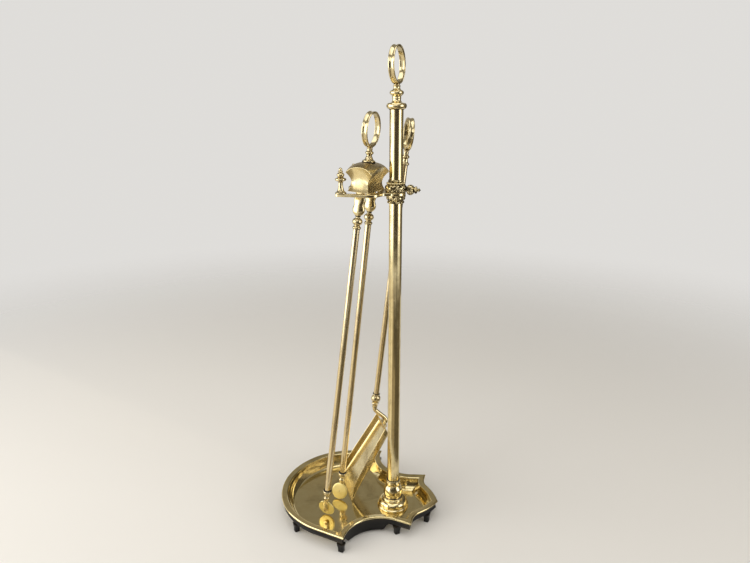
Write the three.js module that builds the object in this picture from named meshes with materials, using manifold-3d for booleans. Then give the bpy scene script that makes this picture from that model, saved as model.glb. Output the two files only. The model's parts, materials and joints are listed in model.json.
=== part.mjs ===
// Fireplace tool set: a brass tray stand with a column and bracket, one pair of tongs and one shovel.
// Millimetres, +Z up. The stand's feet rest on z = 0 and the tray's mirror axis is X.
import * as THREE from "three";
import { mergeVertices } from "three/addons/utils/BufferGeometryUtils.js";
import Module from "manifold-3d";

const wasm = await Module();
wasm.setup();

// ---------------------------------------------------------------- driving dimensions

const seatGap = 0.3;              // left between pieces that rest on or in each other
const threadRoom = 0.3;           // radial room round a stud or spigot in its bore
const overrun = 1;                // how far a cutter runs past the faces it opens

// tray outline, measured from the column's axis
const columnX = 56;               // column axis, in front of the middle of the tray
const lobeCentreX = -72;
const lobeRadius = 114;
const lobeSweep = 77.3;           // degrees of arc each side of -X, before the straight run to the horn
const hollowCentreX = 7;
const hollowCentreY = 116;
const hollowRadius = 55;
const hollowRun = 11.5;           // degrees of arc past the hollow's crown
const coveCentreX = 68;
const coveCentreY = 54;
const coveRadius = 25;
const coveTangent = 45;           // direction in which the cove hands over to the nose
const noseX = 74;

const cornerStep = 4;             // degrees of arc between a corner and the next point

// tray section
const trayFloorZ = 8;             // upper face of the tray's floor
const traySheet = 1.2;
const rimZ = 28;                  // crown of the rim
const rimBand = 10;               // flat band of the rim
const rimFall = 1.6;              // how much the band falls towards the wall
const wallRun = 9;                // plan width of the sloping wall
const rimLip = 3;                 // height of the turned-down edge

// apron and feet
const apronInset = 3;
const apronWall = 4.5;
const apronLobeZ = 14;            // lower edge under the lobe and the nose
const apronHollowZ = 3;           // lower edge along the hollow sides
const lobeFootStep = 10;          // flats from the lobe's crown to the foot under it
const noseFootStep = 2;           // flats from the cove to the foot under the nose
const footTop = 12;
const footSole = 8.6;
const footSpigot = 3;
const footSpigotLength = 6;
const lobeSteps = 14;             // flats drawn round each stretch of the outline
const hollowSteps = 10;
const coveSteps = 3;
const noseSteps = 4;

// column
const rodDiameter = 6;
const rodBottomZ = 0.8;
const backingDiameter = 44;
const backingThickness = 2.4;
const nutWidth = 10;
const nutHeight = 2.6;
const footDiameter = 50;
const columnFootHeight = 48;
const tubeDiameter = 19;
const tubeWall = 1.2;
const socketDepth = 6;
const bracketTopZ = 520.5;
const bracketThickness = 4;
const hubSeatHeight = 11;
const hubCapHeight = 18;
const columnTopZ = 633.7;         // underside of the cap's flange
const capHeight = 30.5;
const capPlug = 10;               // how far the cap reaches down into the upper tube
const rodReach = 12;              // how far the tie rod's bore reaches up into the cap
const carryRingRadius = 25.2;
const carryRingTurn = -6.5;       // degrees about the column
const ringStudDiameter = 4;
const ringStudLength = 8;

// bracket
const eyeRadius = 14;
const spigotDiameter = 15;
const spigotHeight = 3.2;
const forkHalfGap = 28.2;
const prongWidth = 9;
const prongReach = 79;            // column axis to the prong tips
const slotEndX = 26;              // column axis to the closed end of the fork's slot
const slotCorner = 8;
const crookX = -0.5;
const crookY = 53.8;
const crookInner = 8.5;
const crookOuter = 13.5;
const crookMouth = 12;
const crookMouthTurn = 150;       // degrees from +X to the mouth of the crook
const crookArmWidth = 9;
const forkShoulder = 14;          // how far the fork's outer corners are cut back
const finialInset = 8;            // prong tip to the finial's axis
const finialX = prongReach - finialInset;
const finialY = forkHalfGap + prongWidth / 2;
const finialHeight = 36;
const finialStud = 4;
const screwZ = bracketTopZ + 4.1;   // middle of the clamp screw
const screwReach = 36;            // column axis to the tip of the clamp screw
const screwStud = 5;

// ring handles
const ringBand = 9;
const ringWall = 3;

// tongs
const tongsX = -43.2;
const tongsY = 2;
const tongsTwist = -8.5;          // degrees about the vertical
const tongsLean = 5.1;            // degrees, top towards the column
const tongsSkew = 4.3;            // degrees both legs hang to one side
const tongsSplay = 0.9;           // degrees each leg stands outwards
const headBottomX = 32;
const headBottomY = 62;
const headTopX = 40;
const headTopY = 66;
const headWaist = 5.3;            // how far the waist is drawn in on each side
const headCornerHeight = 25.5;
const headEdgeFall = 5;           // from the middle of the crown to the middle of its edges
const headCornerFall = 4;         // further fall at the corners
const headHeight = headCornerHeight + 2 * headEdgeFall + headCornerFall;
const headWall = 3;
const headRoof = 5;
const pocketX = headBottomX / 2 - headWaist - headWall + 1;
const pocketY = headBottomY / 2 - headWaist - headWall + 1;
const pocketFlare = 3;            // how much wider the pocket is on each side at its mouth
const crownShares = [0.8, 0.55, 0.3, 0.12];
const pinDiameter = 4;
const pinHeight = 9;              // above the head's lower edge
const pinSpacing = 40;
const knuckleWidth = 13;
const knuckleThickness = 5;
const knuckleEye = 5.5;
const bulbTop = 18;               // below the hinge pin
const bulbHeight = 25;
const collarHeight = 18;
const collarStud = 4;
const collarStudLength = 4.4;
const legLength = 512.5;          // hinge pin to the middle of the grip disc
const legDiameter = 9.5;
const shaftWall = 1.6;            // of the legs and of the shovel's shaft
const shaftTop = -bulbTop - bulbHeight - collarHeight - 2 * seatGap;
const toeTop = 33 - legLength;
const tongueWidth = 8;
const tongueLength = 22;
const tongueThickness = 2.6;
const gripDiameter = 27;
const gripThickness = 3;
const gripTilt = 15;              // degrees, gripping faces turned upwards
const gripInset = 4;              // disc middle inside the leg's axis
const tongsStemHeight = 18.5;
const tongsStemStud = 5;
const tongsStemReach = 5;         // how far the stud stands below the head's roof
const tongsNutWidth = 9;
const tongsNutHeight = 3;
const tongsRingRadius = 24.5;
const leafRivet = 3;

// shovel
const lipX = -84.9;
const lipY = 24.1;
const panYaw = 29.2;              // degrees from +X to the pan's middle line
const panLength = 126.3;
const panPitch = 58.6;            // degrees from the tray's floor
const panLipWidth = 75.6;
const panBackWidth = 55.2;
const panBackLean = 8;            // how far the back wall's top leans out
const panWallHeight = 12;
const panSheet = 1.6;
const panCorner = 4;
const shaftDiameter = 9.5;
const knobX = -41.8;
const knobY = 52.2;
const knobZ = 170;
const shaftBesideCrook = 1.8;     // shaft's axis from the crook's middle
const socketDrop = 17;            // from the knob down to the socket's mouth
const neckSeat = 10;              // from the knob down to the bottom of the neck's bore
const shaftSeat = 8;              // from the knob up to the end of the shaft
const shaftPastBracket = 34.3;    // how far the shaft runs on above the bracket's top
const shovelStemHeight = 19;
const shovelRingRadius = 23.2;
const shovelRingTurn = 18.7;      // degrees from the plane in which the shaft leans
const neckDiameter = 7;
const neckDrop = 9;               // how far the bend's pull reaches below the socket
const neckSweep = 16;             // and out from the palm
const palmWidth = 28;
const palmHeight = 9;
const palmThickness = 2.4;
const palmRivet = 3;
const rivetSpacing = 18;
const lipZ = trayFloorZ + seatGap;
const backAngle = Math.atan2(panBackLean, panWallHeight);
const shaftRunX = crookX - shaftBesideCrook - knobX;
const shaftRunY = crookY - knobY;
const shaftRun = Math.hypot(shaftRunX, shaftRunY);
const shaftYaw = Math.atan2(shaftRunY, shaftRunX);
const shaftLean = Math.atan2(shaftRun, bracketTopZ - knobZ);
const shaftLength = Math.hypot(shaftRun, bracketTopZ - knobZ) - shaftSeat + shaftPastBracket;

// ---------------------------------------------------------------- finishes

const polishedBrass = { color: 0xd9b65a, roughness: 0.16, metalness: 1 };
const oldBrass = { color: 0xb8943f, roughness: 0.3, metalness: 1 };
const castIron = { color: 0x16161a, roughness: 0.6, metalness: 0.6 };
const plainSteel = { color: 0x6d6c69, roughness: 0.45, metalness: 0.9 };

const model = new THREE.Group();
const fine = 20;
const plain = 14;
const slim = 10;

const rad = THREE.MathUtils.degToRad;

function place(parent, name, geometry, finish) {
  const mesh = new THREE.Mesh(geometry, new THREE.MeshStandardMaterial(finish));
  mesh.name = name;
  parent.add(mesh);
  return mesh;
}

// ---------------------------------------------------------------- solids and profiles

function solid(geometry) {
  const bare = geometry.clone();
  bare.deleteAttribute("normal");
  bare.deleteAttribute("uv");
  const merged = mergeVertices(bare, 1e-4);
  const triVerts = new Uint32Array(merged.index.array);
  const vertProperties = new Float32Array(merged.attributes.position.array);
  return new wasm.Manifold(new wasm.Mesh({ numProp: 3, vertProperties, triVerts }));
}

function geometryOf(body) {
  const mesh = body.getMesh();
  const geometry = new THREE.BufferGeometry();
  geometry.setAttribute("position", new THREE.BufferAttribute(new Float32Array(mesh.vertProperties), 3));
  geometry.setIndex(new THREE.BufferAttribute(new Uint32Array(mesh.triVerts), 1));
  geometry.computeVertexNormals();
  return geometry;
}

function join(first, ...others) {
  return geometryOf(others.reduce((body, other) => body.add(solid(other)), solid(first)));
}

function cut(first, ...tools) {
  return geometryOf(tools.reduce((body, tool) => body.subtract(solid(tool)), solid(first)));
}

// A half section drawn point by point: radius out from the axis, height along it.
class Section {
  constructor() {
    this.points = [];
  }

  to(radius, height) {
    this.points.push(new THREE.Vector2(radius, height));
    return this;
  }

  // circular arc from the last point, bulging to the right of its direction of travel
  arc(radius, height, bulge, steps = 5) {
    const from = this.points[this.points.length - 1];
    const end = new THREE.Vector2(radius, height);
    const chord = end.clone().sub(from);
    const half = chord.length() / 2;
    const arcRadius = (half * half + bulge * bulge) / (2 * bulge);
    const side = new THREE.Vector2(chord.y, -chord.x).normalize();
    const centre = from.clone().add(end).multiplyScalar(0.5).addScaledVector(side, bulge - arcRadius);
    const turn = 2 * Math.atan2(half, Math.abs(arcRadius) - Math.abs(bulge)) * Math.sign(bulge);
    for (let step = 1; step < steps; step += 1) {
      this.points.push(from.clone().rotateAround(centre, (turn * step) / steps));
    }
    this.points.push(end);
    return this;
  }

  turned(sides = plain) {
    const geometry = new THREE.LatheGeometry(this.points, sides);
    geometry.rotateX(Math.PI / 2);
    return geometry;
  }
}

function rod(diameter, bottom, top, sides = slim) {
  const geometry = new THREE.CylinderGeometry(diameter / 2, diameter / 2, top - bottom, sides);
  geometry.rotateX(Math.PI / 2);
  geometry.translate(0, 0, (bottom + top) / 2);
  return geometry;
}

function plate(shape, bottom, top, curveSegments = 10) {
  const depth = top - bottom;
  const geometry = new THREE.ExtrudeGeometry(shape, { depth, bevelEnabled: false, curveSegments });
  geometry.translate(0, 0, bottom);
  return geometry;
}

function block(width, depth, height, x, y, z) {
  const geometry = new THREE.BoxGeometry(width, depth, height);
  geometry.translate(x, y, z);
  return geometry;
}

// Skin through a list of rings with the same number of points; the rings run up the outside.
function skin(rings, closeOnItself) {
  const count = rings[0].length;
  const positions = rings.flat().flatMap((point) => [point.x, point.y, point.z]);
  const index = [];
  const bands = closeOnItself ? rings.length : rings.length - 1;
  for (let band = 0; band < bands; band += 1) {
    const low = band * count;
    const high = ((band + 1) % rings.length) * count;
    for (let i = 0; i < count; i += 1) {
      const next = (i + 1) % count;
      index.push(low + i, low + next, high + next, low + i, high + next, high + i);
    }
  }
  if (!closeOnItself) {
    addLid(rings[0], 0, true);
    addLid(rings[rings.length - 1], (rings.length - 1) * count, false);
  }
  function addLid(ring, offset, facesDown) {
    const contour = ring.map((point) => new THREE.Vector2(point.x, point.y));
    for (const [a, b, c] of THREE.ShapeUtils.triangulateShape(contour, [])) {
      const face = facesDown ? [a, c, b] : [a, b, c];
      index.push(...face.map((corner) => offset + corner));
    }
  }
  const geometry = new THREE.BufferGeometry();
  geometry.setAttribute("position", new THREE.Float32BufferAttribute(positions, 3));
  geometry.setIndex(index);
  return geometry;
}

// ---------------------------------------------------------------- tray outline

// Half outline in the -Y side, from the lobe's crown to the nose, drawn a distance inside the edge.
// A point says whether a foot stands under it and whether the apron hangs low there.
function halfOutline(inset) {
  const points = [];
  const lobe = lobeRadius - inset;
  for (let step = 0; step <= lobeSteps; step += 1) {
    const angle = rad(180 + (lobeSweep * step) / lobeSteps);
    const foot = step === lobeFootStep;
    points.push({ x: lobeCentreX + lobe * Math.cos(angle), y: lobe * Math.sin(angle), foot });
  }
  const hollow = { x: hollowCentreX, y: -hollowCentreY, radius: hollowRadius + inset };
  turnRound(points, -1 / Math.tan(rad(lobeSweep)), hollow, rad(90 - hollowRun), hollowSteps, true);
  const cove = { x: coveCentreX, y: -coveCentreY, radius: coveRadius + inset };
  turnRound(points, -Math.tan(rad(hollowRun)), cove, rad(180 - coveTangent), coveSteps, false);

  const nose = noseArc();
  const noseRadius = nose.radius - inset;
  const from = rad(coveTangent - 90);
  const to = Math.asin(-nose.centre.y / noseRadius);
  for (let step = 1; step <= noseSteps; step += 1) {
    const angle = from + ((to - from) * step) / noseSteps;
    const x = nose.centre.x + noseRadius * Math.cos(angle);
    points.push({ x, y: nose.centre.y + noseRadius * Math.sin(angle), foot: step === noseFootStep });
  }
  return points;
}

// A straight run of the given slope goes on to a corner at the circle, or at the upright tangent
// on the circle's left, and the outline then follows the circle to the end angle. Where the apron
// hangs low, a foot stands at each end of that stretch.
function turnRound(points, slope, circle, endAngle, steps, hangsLow) {
  const from = new THREE.Vector2(points[points.length - 1].x, points[points.length - 1].y);
  const corner = new THREE.Vector2(circle.x - circle.radius, 0);
  corner.y = from.y + (corner.x - from.x) * slope;
  let startAngle = Math.PI;
  if (corner.y > circle.y) {
    const along = new THREE.Vector2(1, slope).normalize();
    const toCentre = new THREE.Vector2(circle.x, circle.y).sub(from);
    const nearest = toCentre.dot(along);
    const halfChord = Math.sqrt(circle.radius ** 2 - toCentre.lengthSq() + nearest ** 2);
    corner.copy(from).addScaledVector(along, nearest - halfChord);
    startAngle = Math.atan2(corner.y - circle.y, corner.x - circle.x) - rad(cornerStep);
  }
  points.push({ x: corner.x, y: corner.y, foot: hangsLow });
  for (let step = 0; step <= steps; step += 1) {
    const angle = startAngle + ((endAngle - startAngle) * step) / steps;
    const x = circle.x + circle.radius * Math.cos(angle);
    const y = circle.y + circle.radius * Math.sin(angle);
    const low = hangsLow && step > 1 && step < steps - 1;
    points.push({ x, y, low, foot: hangsLow && step === steps });
  }
}

// The nose's arc leaves the cove in its own direction and ends on the mirror axis.
function noseArc() {
  const turn = rad(coveTangent);
  const inward = new THREE.Vector2(-Math.sin(turn), Math.cos(turn));
  const start = new THREE.Vector2(coveCentreX, -coveCentreY).addScaledVector(inward, coveRadius);
  const reach = new THREE.Vector2(noseX, 0).sub(start);
  const radius = reach.lengthSq() / (2 * reach.dot(inward));
  return { radius, centre: start.addScaledVector(inward, radius) };
}

// Whole outline, counter-clockwise seen from above.
function outline(inset) {
  const half = halfOutline(inset);
  const far = half.slice(1, -1).reverse().map((point) => ({ ...point, y: -point.y }));
  return [...half, ...far];
}

function trayRing(inset, z) {
  return outline(inset).map(({ x, y }) => new THREE.Vector3(x, y, z));
}

// ---------------------------------------------------------------- stand

const stand = new THREE.Group();
stand.position.x = columnX;
model.add(stand);

const rodRoom = rodDiameter + 2 * threadRoom;
const trayUndersideZ = trayFloorZ - traySheet;
const bandEndZ = rimZ - rimFall;
const bracketBottomZ = bracketTopZ - bracketThickness;

// underside of the rim's band, which falls evenly towards the wall
function bandUnderZ(inset) {
  return rimZ - traySheet - (rimFall * inset) / rimBand;
}

function buildTray() {
  const wallFoot = rimBand + wallRun;
  const bead = traySheet / 2;
  const upper = [
    trayRing(0, rimZ - traySheet),
    trayRing(bead, rimZ),
    trayRing(rimBand - 2, bandEndZ),
    trayRing(rimBand, bandEndZ - 1),
    trayRing(rimBand + wallRun / 3, bandEndZ - (bandEndZ - trayFloorZ) / 2),
    trayRing(wallFoot - 2, trayFloorZ + 2.5),
    trayRing(wallFoot + 1, trayFloorZ),
  ];
  const lower = [
    trayRing(wallFoot + 1, trayUndersideZ),
    trayRing(wallFoot - 2 - traySheet, trayFloorZ + 1.5),
    trayRing(rimBand + wallRun / 3 - traySheet, bandEndZ - (bandEndZ - trayFloorZ) / 2),
    trayRing(rimBand - traySheet, bandUnderZ(rimBand)),
    trayRing(traySheet + bead, bandUnderZ(traySheet + bead)),
    trayRing(traySheet, rimZ - rimLip),
    trayRing(bead / 2, rimZ - rimLip),
  ];
  const dish = skin([...lower, ...upper], false);
  return cut(dish, rod(rodRoom, trayUndersideZ - overrun, trayFloorZ + overrun, slim));
}

// Cast apron that carries the rim. Its lower edge hangs lower along the hollow sides.
function buildApron() {
  const lowerZ = (low) => (low ? apronHollowZ : apronLobeZ);
  const ring = (inset, onTop) => outline(inset).map(({ x, y, low }) => (
    new THREE.Vector3(x, y, onTop ? bandUnderZ(inset) - seatGap : lowerZ(low))
  ));
  const inner = apronInset + apronWall;
  const rings = [ring(apronInset, false), ring(apronInset, true), ring(inner, true), ring(inner, false)];
  return cut(skin(rings, true), ...footPlaces().map(({ x, y }) => {
    const bore = rod(footSpigot + 2 * threadRoom, apronHollowZ, apronLobeZ + footSpigotLength + seatGap, 12);
    return bore.translate(x, y, 0);
  }));
}

// Eight feet under the middle of the apron's wall. On each side one stands under the lobe, one
// under the horn, one at the end of the hollow and one under the nose.
function footPlaces() {
  return outline(apronInset + apronWall / 2).filter(({ foot }) => foot);
}

function buildFoot() {
  const top = apronLobeZ - seatGap;
  const spigotTop = top + footSpigotLength;
  return new Section()
    .to(0, 0).to(footSole / 2 - 0.6, 0).to(footSole / 2, 0.6).to(footSole / 2 + 0.1, top * 0.4)
    .arc(footTop / 2, top - 2, -0.6, 2).to(footTop / 2, top).to(footSpigot / 2, top)
    .to(footSpigot / 2, spigotTop).to(0, spigotTop)
    .turned(12);
}

function buildColumnFoot() {
  const base = footDiameter / 2;
  const top = trayFloorZ + columnFootHeight;
  const seat = tubeDiameter / 2 + threadRoom;
  const at = (height) => trayFloorZ + height;
  const below = (drop) => top - drop;
  return new Section()
    .to(rodRoom / 2, at(0)).to(base - 1, at(0)).arc(base - 0.9, at(3.4), 1, 3).to(base - 2, at(4.2))
    .arc(base - 9, at(13.4), 2.8, 5).to(base - 9.8, at(14.2)).arc(base - 9.6, at(16.6), 0.9, 2)
    .to(base - 11.4, at(17.4)).to(base - 11.4, at(18.6)).arc(base - 13.6, at(38), 2.9, 6)
    .arc(base - 14, below(5), -0.3, 3)
    .to(base - 14.4, below(4)).arc(tubeDiameter / 2 + 1.6, below(2), 0.6, 2).to(tubeDiameter / 2 + 1.2, top)
    .to(seat, top).to(seat, top - socketDepth).to(rodRoom / 2, top - socketDepth).to(rodRoom / 2, at(0))
    .turned(fine);
}

function buildTube(bottom, top) {
  const outer = tubeDiameter / 2;
  const inner = outer - tubeWall;
  return new Section().to(inner, bottom).to(outer, bottom).to(outer, top).to(inner, top).to(inner, bottom)
    .turned(fine);
}

// Lower half of the hub: socket for the lower tube, bowl, and a spigot up through the bracket's eye.
function buildHubSeat() {
  const bottom = bracketBottomZ - hubSeatHeight;
  const seat = tubeDiameter / 2 + threadRoom;
  const bore = rodRoom / 2;
  const at = (height) => bottom + height;
  return new Section()
    .to(seat, at(0)).to(seat + 1.4, at(0)).arc(seat + 1.4, at(3), 1.2, 3).to(seat + 0.7, at(4))
    .arc(eyeRadius - 0.6, at(8.6), 1.4, 3).to(eyeRadius, at(9.4)).to(eyeRadius, bracketBottomZ)
    .to(spigotDiameter / 2, bracketBottomZ).to(spigotDiameter / 2, bracketBottomZ + spigotHeight)
    .to(bore, bracketBottomZ + spigotHeight).to(bore, at(socketDepth))
    .to(seat, at(socketDepth)).to(seat, at(0))
    .turned(fine);
}

// Upper half of the hub: drum, thin ring and collar, socket for the upper tube, bore for the screw.
function buildHubCap() {
  const bottom = bracketTopZ;
  const top = bottom + hubCapHeight;
  const seat = tubeDiameter / 2 + threadRoom;
  const bore = rodRoom / 2;
  const at = (height) => bottom + height;
  const drum = new Section()
    .to(bore, at(0)).to(eyeRadius - 0.4, at(0)).arc(eyeRadius + 1.2, at(4.4), 0.8, 2)
    .arc(eyeRadius - 0.6, at(10.6), 1.2, 3).to(eyeRadius - 2.6, at(11.4)).to(eyeRadius - 2.6, at(12.4))
    .arc(eyeRadius - 2.6, at(13.8), 0.5, 2).to(seat + 0.5, at(14.4)).arc(seat + 0.5, top, 0.7, 3)
    .to(seat, top).to(seat, top - socketDepth).to(bore, top - socketDepth).to(bore, at(0))
    .turned(fine);
  const screwBore = rod(screwStud + 2 * threadRoom, bore / 2, screwReach).rotateY(Math.PI / 2);
  return cut(drum, screwBore.translate(0, 0, screwZ));
}

// Flat casting: eye round the hub, U fork towards -X, arm and open crook towards +Y.
function buildBracket() {
  const bottom = bracketBottomZ;
  const top = bracketTopZ;
  const outerY = forkHalfGap + prongWidth;
  const tip = prongWidth / 2;
  const backX = slotEndX - prongWidth;
  const fork = new THREE.Shape();
  fork.moveTo(-backX, -outerY + forkShoulder);
  fork.quadraticCurveTo(-backX - 2, -outerY, -backX - forkShoulder - 2, -outerY);
  fork.lineTo(-prongReach + tip, -outerY);
  fork.absarc(-prongReach + tip, -outerY + tip, tip, -Math.PI / 2, Math.PI / 2, true);
  fork.lineTo(-slotEndX - slotCorner, -forkHalfGap);
  fork.absarc(-slotEndX - slotCorner, -forkHalfGap + slotCorner, slotCorner, -Math.PI / 2, 0, false);
  fork.lineTo(-slotEndX, forkHalfGap - slotCorner);
  fork.absarc(-slotEndX - slotCorner, forkHalfGap - slotCorner, slotCorner, 0, Math.PI / 2, false);
  fork.lineTo(-prongReach + tip, forkHalfGap);
  fork.absarc(-prongReach + tip, outerY - tip, tip, -Math.PI / 2, Math.PI / 2, true);
  fork.lineTo(-backX - forkShoulder - 2, outerY);
  fork.quadraticCurveTo(-backX - 2, outerY, -backX, outerY - forkShoulder);
  fork.quadraticCurveTo(-backX + 1, eyeRadius - 1, -4, eyeRadius - 1);
  fork.lineTo(-4, -eyeRadius + 1);
  fork.quadraticCurveTo(-backX + 1, -eyeRadius + 1, -backX, -outerY + forkShoulder);

  const crook = new THREE.Shape();
  const middle = (crookInner + crookOuter) / 2;
  const mouth = rad(crookMouthTurn);
  const halfMouth = Math.asin((crookMouth + crookOuter - crookInner) / 2 / middle);
  crook.absarc(0, 0, crookOuter, mouth + halfMouth, mouth - halfMouth + 2 * Math.PI, false);
  crook.absarc(0, 0, crookInner, mouth - halfMouth + 2 * Math.PI, mouth + halfMouth, true);
  const hook = plate(crook, bottom, top, 16).translate(crookX, crookY, 0);
  const armLength = crookY - middle;
  const arm = block(crookArmWidth, armLength, bracketThickness, crookX, armLength / 2, (top + bottom) / 2);

  const eye = rod(2 * eyeRadius, bottom, top, fine);
  const whole = join(eye, plate(fork, bottom, top, 8), arm, hook);
  const eyeBore = rod(spigotDiameter + 2 * threadRoom, bottom - overrun, top + overrun, fine);
  const studBores = [-1, 1].map((side) => (
    rod(finialStud + 2 * threadRoom, bottom - overrun, top + overrun, 8)
      .translate(-finialX, side * finialY, 0)
  ));
  return cut(whole, eyeBore, ...studBores);
}

function buildForkFinial() {
  const at = (height) => bracketTopZ + height;
  return new Section()
    .to(0, bracketBottomZ + seatGap).to(finialStud / 2, bracketBottomZ + seatGap).to(finialStud / 2, at(0))
    .to(7.2, at(0)).arc(7.6, at(2), 0.4, 2).arc(4.4, at(5.5), -0.6, 3).arc(3.2, at(15.5), -0.5, 3)
    .to(4.2, at(17)).to(6.8, at(18)).arc(7.4, at(21), 0.7, 3).to(4.4, at(22.4)).to(3.6, at(23.2))
    .arc(3.8, at(28.4), 1.6, 3).to(2.6, at(29)).arc(3.1, at(31), 0.7, 2).to(2.4, at(31.6))
    .arc(0, at(finialHeight), 1.2, 3)
    .turned(slim);
}

function buildColumnCap() {
  const plug = tubeDiameter / 2 - tubeWall - threadRoom;
  const at = (height) => columnTopZ + height;
  const bore = rodRoom / 2;
  const studBore = ringStudDiameter / 2 + threadRoom;
  return new Section()
    .to(bore, at(-capPlug)).to(plug, at(-capPlug)).to(plug, at(0)).to(11.6, at(0)).arc(12.2, at(7.4), 2, 5)
    .to(9.4, at(8.2)).arc(6.2, at(14), -1.8, 3).arc(6.6, at(17), -0.4, 2)
    .to(8, at(18.2)).arc(8, at(23.8), 1.6, 3)
    .to(6, at(24.8)).arc(4.8, at(29), -0.7, 3).to(5.4, at(capHeight)).to(studBore, at(capHeight))
    .to(studBore, at(capHeight - ringStudLength - seatGap)).to(0, at(capHeight - ringStudLength - seatGap))
    .to(0, at(rodReach)).to(bore, at(rodReach)).to(bore, at(-capPlug))
    .turned(fine);
}

// Broad band ring standing on a short stud; its hole faces along local X.
function buildRing(radius) {
  const half = ringBand / 2;
  const inner = radius - ringWall;
  const stud = ringStudDiameter / 2;
  const band = new Section()
    .to(inner, -half + 1).arc(radius - 1, -half, -0.3, 2).arc(radius, 0, 0.6, 3)
    .arc(radius - 1, half, 0.6, 3).arc(inner, half - 1, -0.3, 2).arc(inner, -half + 1, -0.5, 3)
    .turned(fine);
  band.rotateY(Math.PI / 2);
  const collar = new Section()
    .to(0, -ringStudLength).to(stud, -ringStudLength).to(stud, 0).to(stud + 2, 0)
    .arc(stud + 1, ringWall / 2 + 2, -0.6, 3).to(0, ringWall / 2 + 2)
    .turned(slim);
  return join(band.translate(0, 0, radius + 1.6), collar);
}

function buildClampScrew() {
  const start = rodDiameter / 2 + seatGap;
  const shoulder = eyeRadius + 2.2;
  return new Section()
    .to(0, start).to(screwStud / 2, start).to(screwStud / 2, shoulder).to(5, shoulder)
    .arc(4.6, shoulder + 9.6, 2.6, 5).to(3.6, shoulder + 10.2).to(4.4, shoulder + 11)
    .arc(4.2, shoulder + 14, 0.8, 2).to(1.9, shoulder + 14.8).to(1.9, shoulder + 16)
    .to(3.2, shoulder + 17).arc(0, screwReach, -0.3, 3)
    .turned(slim)
    .rotateY(Math.PI / 2);
}

function buildStand() {
  place(stand, "tray", buildTray(), polishedBrass);
  place(stand, "base_frame", buildApron(), castIron);
  footPlaces().forEach(({ x, y }, index) => {
    place(stand, `foot_${index + 1}`, buildFoot(), castIron).position.set(x, y, 0);
  });

  const backingTop = trayUndersideZ;
  const backingBottom = backingTop - backingThickness;
  const backing = rod(backingDiameter, backingBottom, backingTop, plain);
  const boreTool = rod(rodRoom, backingBottom - overrun, backingTop + overrun, slim);
  place(stand, "base_plate", cut(backing, boreTool), castIron);
  const nut = rod(nutWidth / Math.cos(Math.PI / 6), backingBottom - nutHeight, backingBottom, 6);
  place(stand, "base_nut", cut(nut, rod(rodRoom, rodBottomZ, backingTop, slim)), plainSteel);
  place(stand, "tie_rod", rod(rodDiameter, rodBottomZ, columnTopZ + rodReach - seatGap, slim), plainSteel);

  const footSocketZ = trayFloorZ + columnFootHeight - socketDepth;
  const hubSocketZ = bracketBottomZ - hubSeatHeight + socketDepth;
  const capSocketZ = bracketTopZ + hubCapHeight - socketDepth;
  place(stand, "column_foot", buildColumnFoot(), polishedBrass);
  place(stand, "lower_tube", buildTube(footSocketZ, hubSocketZ), polishedBrass);
  place(stand, "hub_seat", buildHubSeat(), polishedBrass);
  place(stand, "tool_bracket", buildBracket(), polishedBrass);
  place(stand, "hub_cap", buildHubCap(), polishedBrass);
  place(stand, "upper_tube", buildTube(capSocketZ, columnTopZ), polishedBrass);
  place(stand, "column_cap", buildColumnCap(), polishedBrass);
  [-1, 1].forEach((side, index) => {
    const finial = place(stand, `fork_finial_${index + 1}`, buildForkFinial(), polishedBrass);
    finial.position.set(-finialX, side * finialY, 0);
  });

  const ring = place(stand, "carry_ring", buildRing(carryRingRadius), polishedBrass);
  ring.position.z = columnTopZ + capHeight;
  ring.rotation.z = rad(carryRingTurn);
  place(stand, "clamp_screw", buildClampScrew(), polishedBrass).position.z = screwZ;
}

// ---------------------------------------------------------------- tongs

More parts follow.
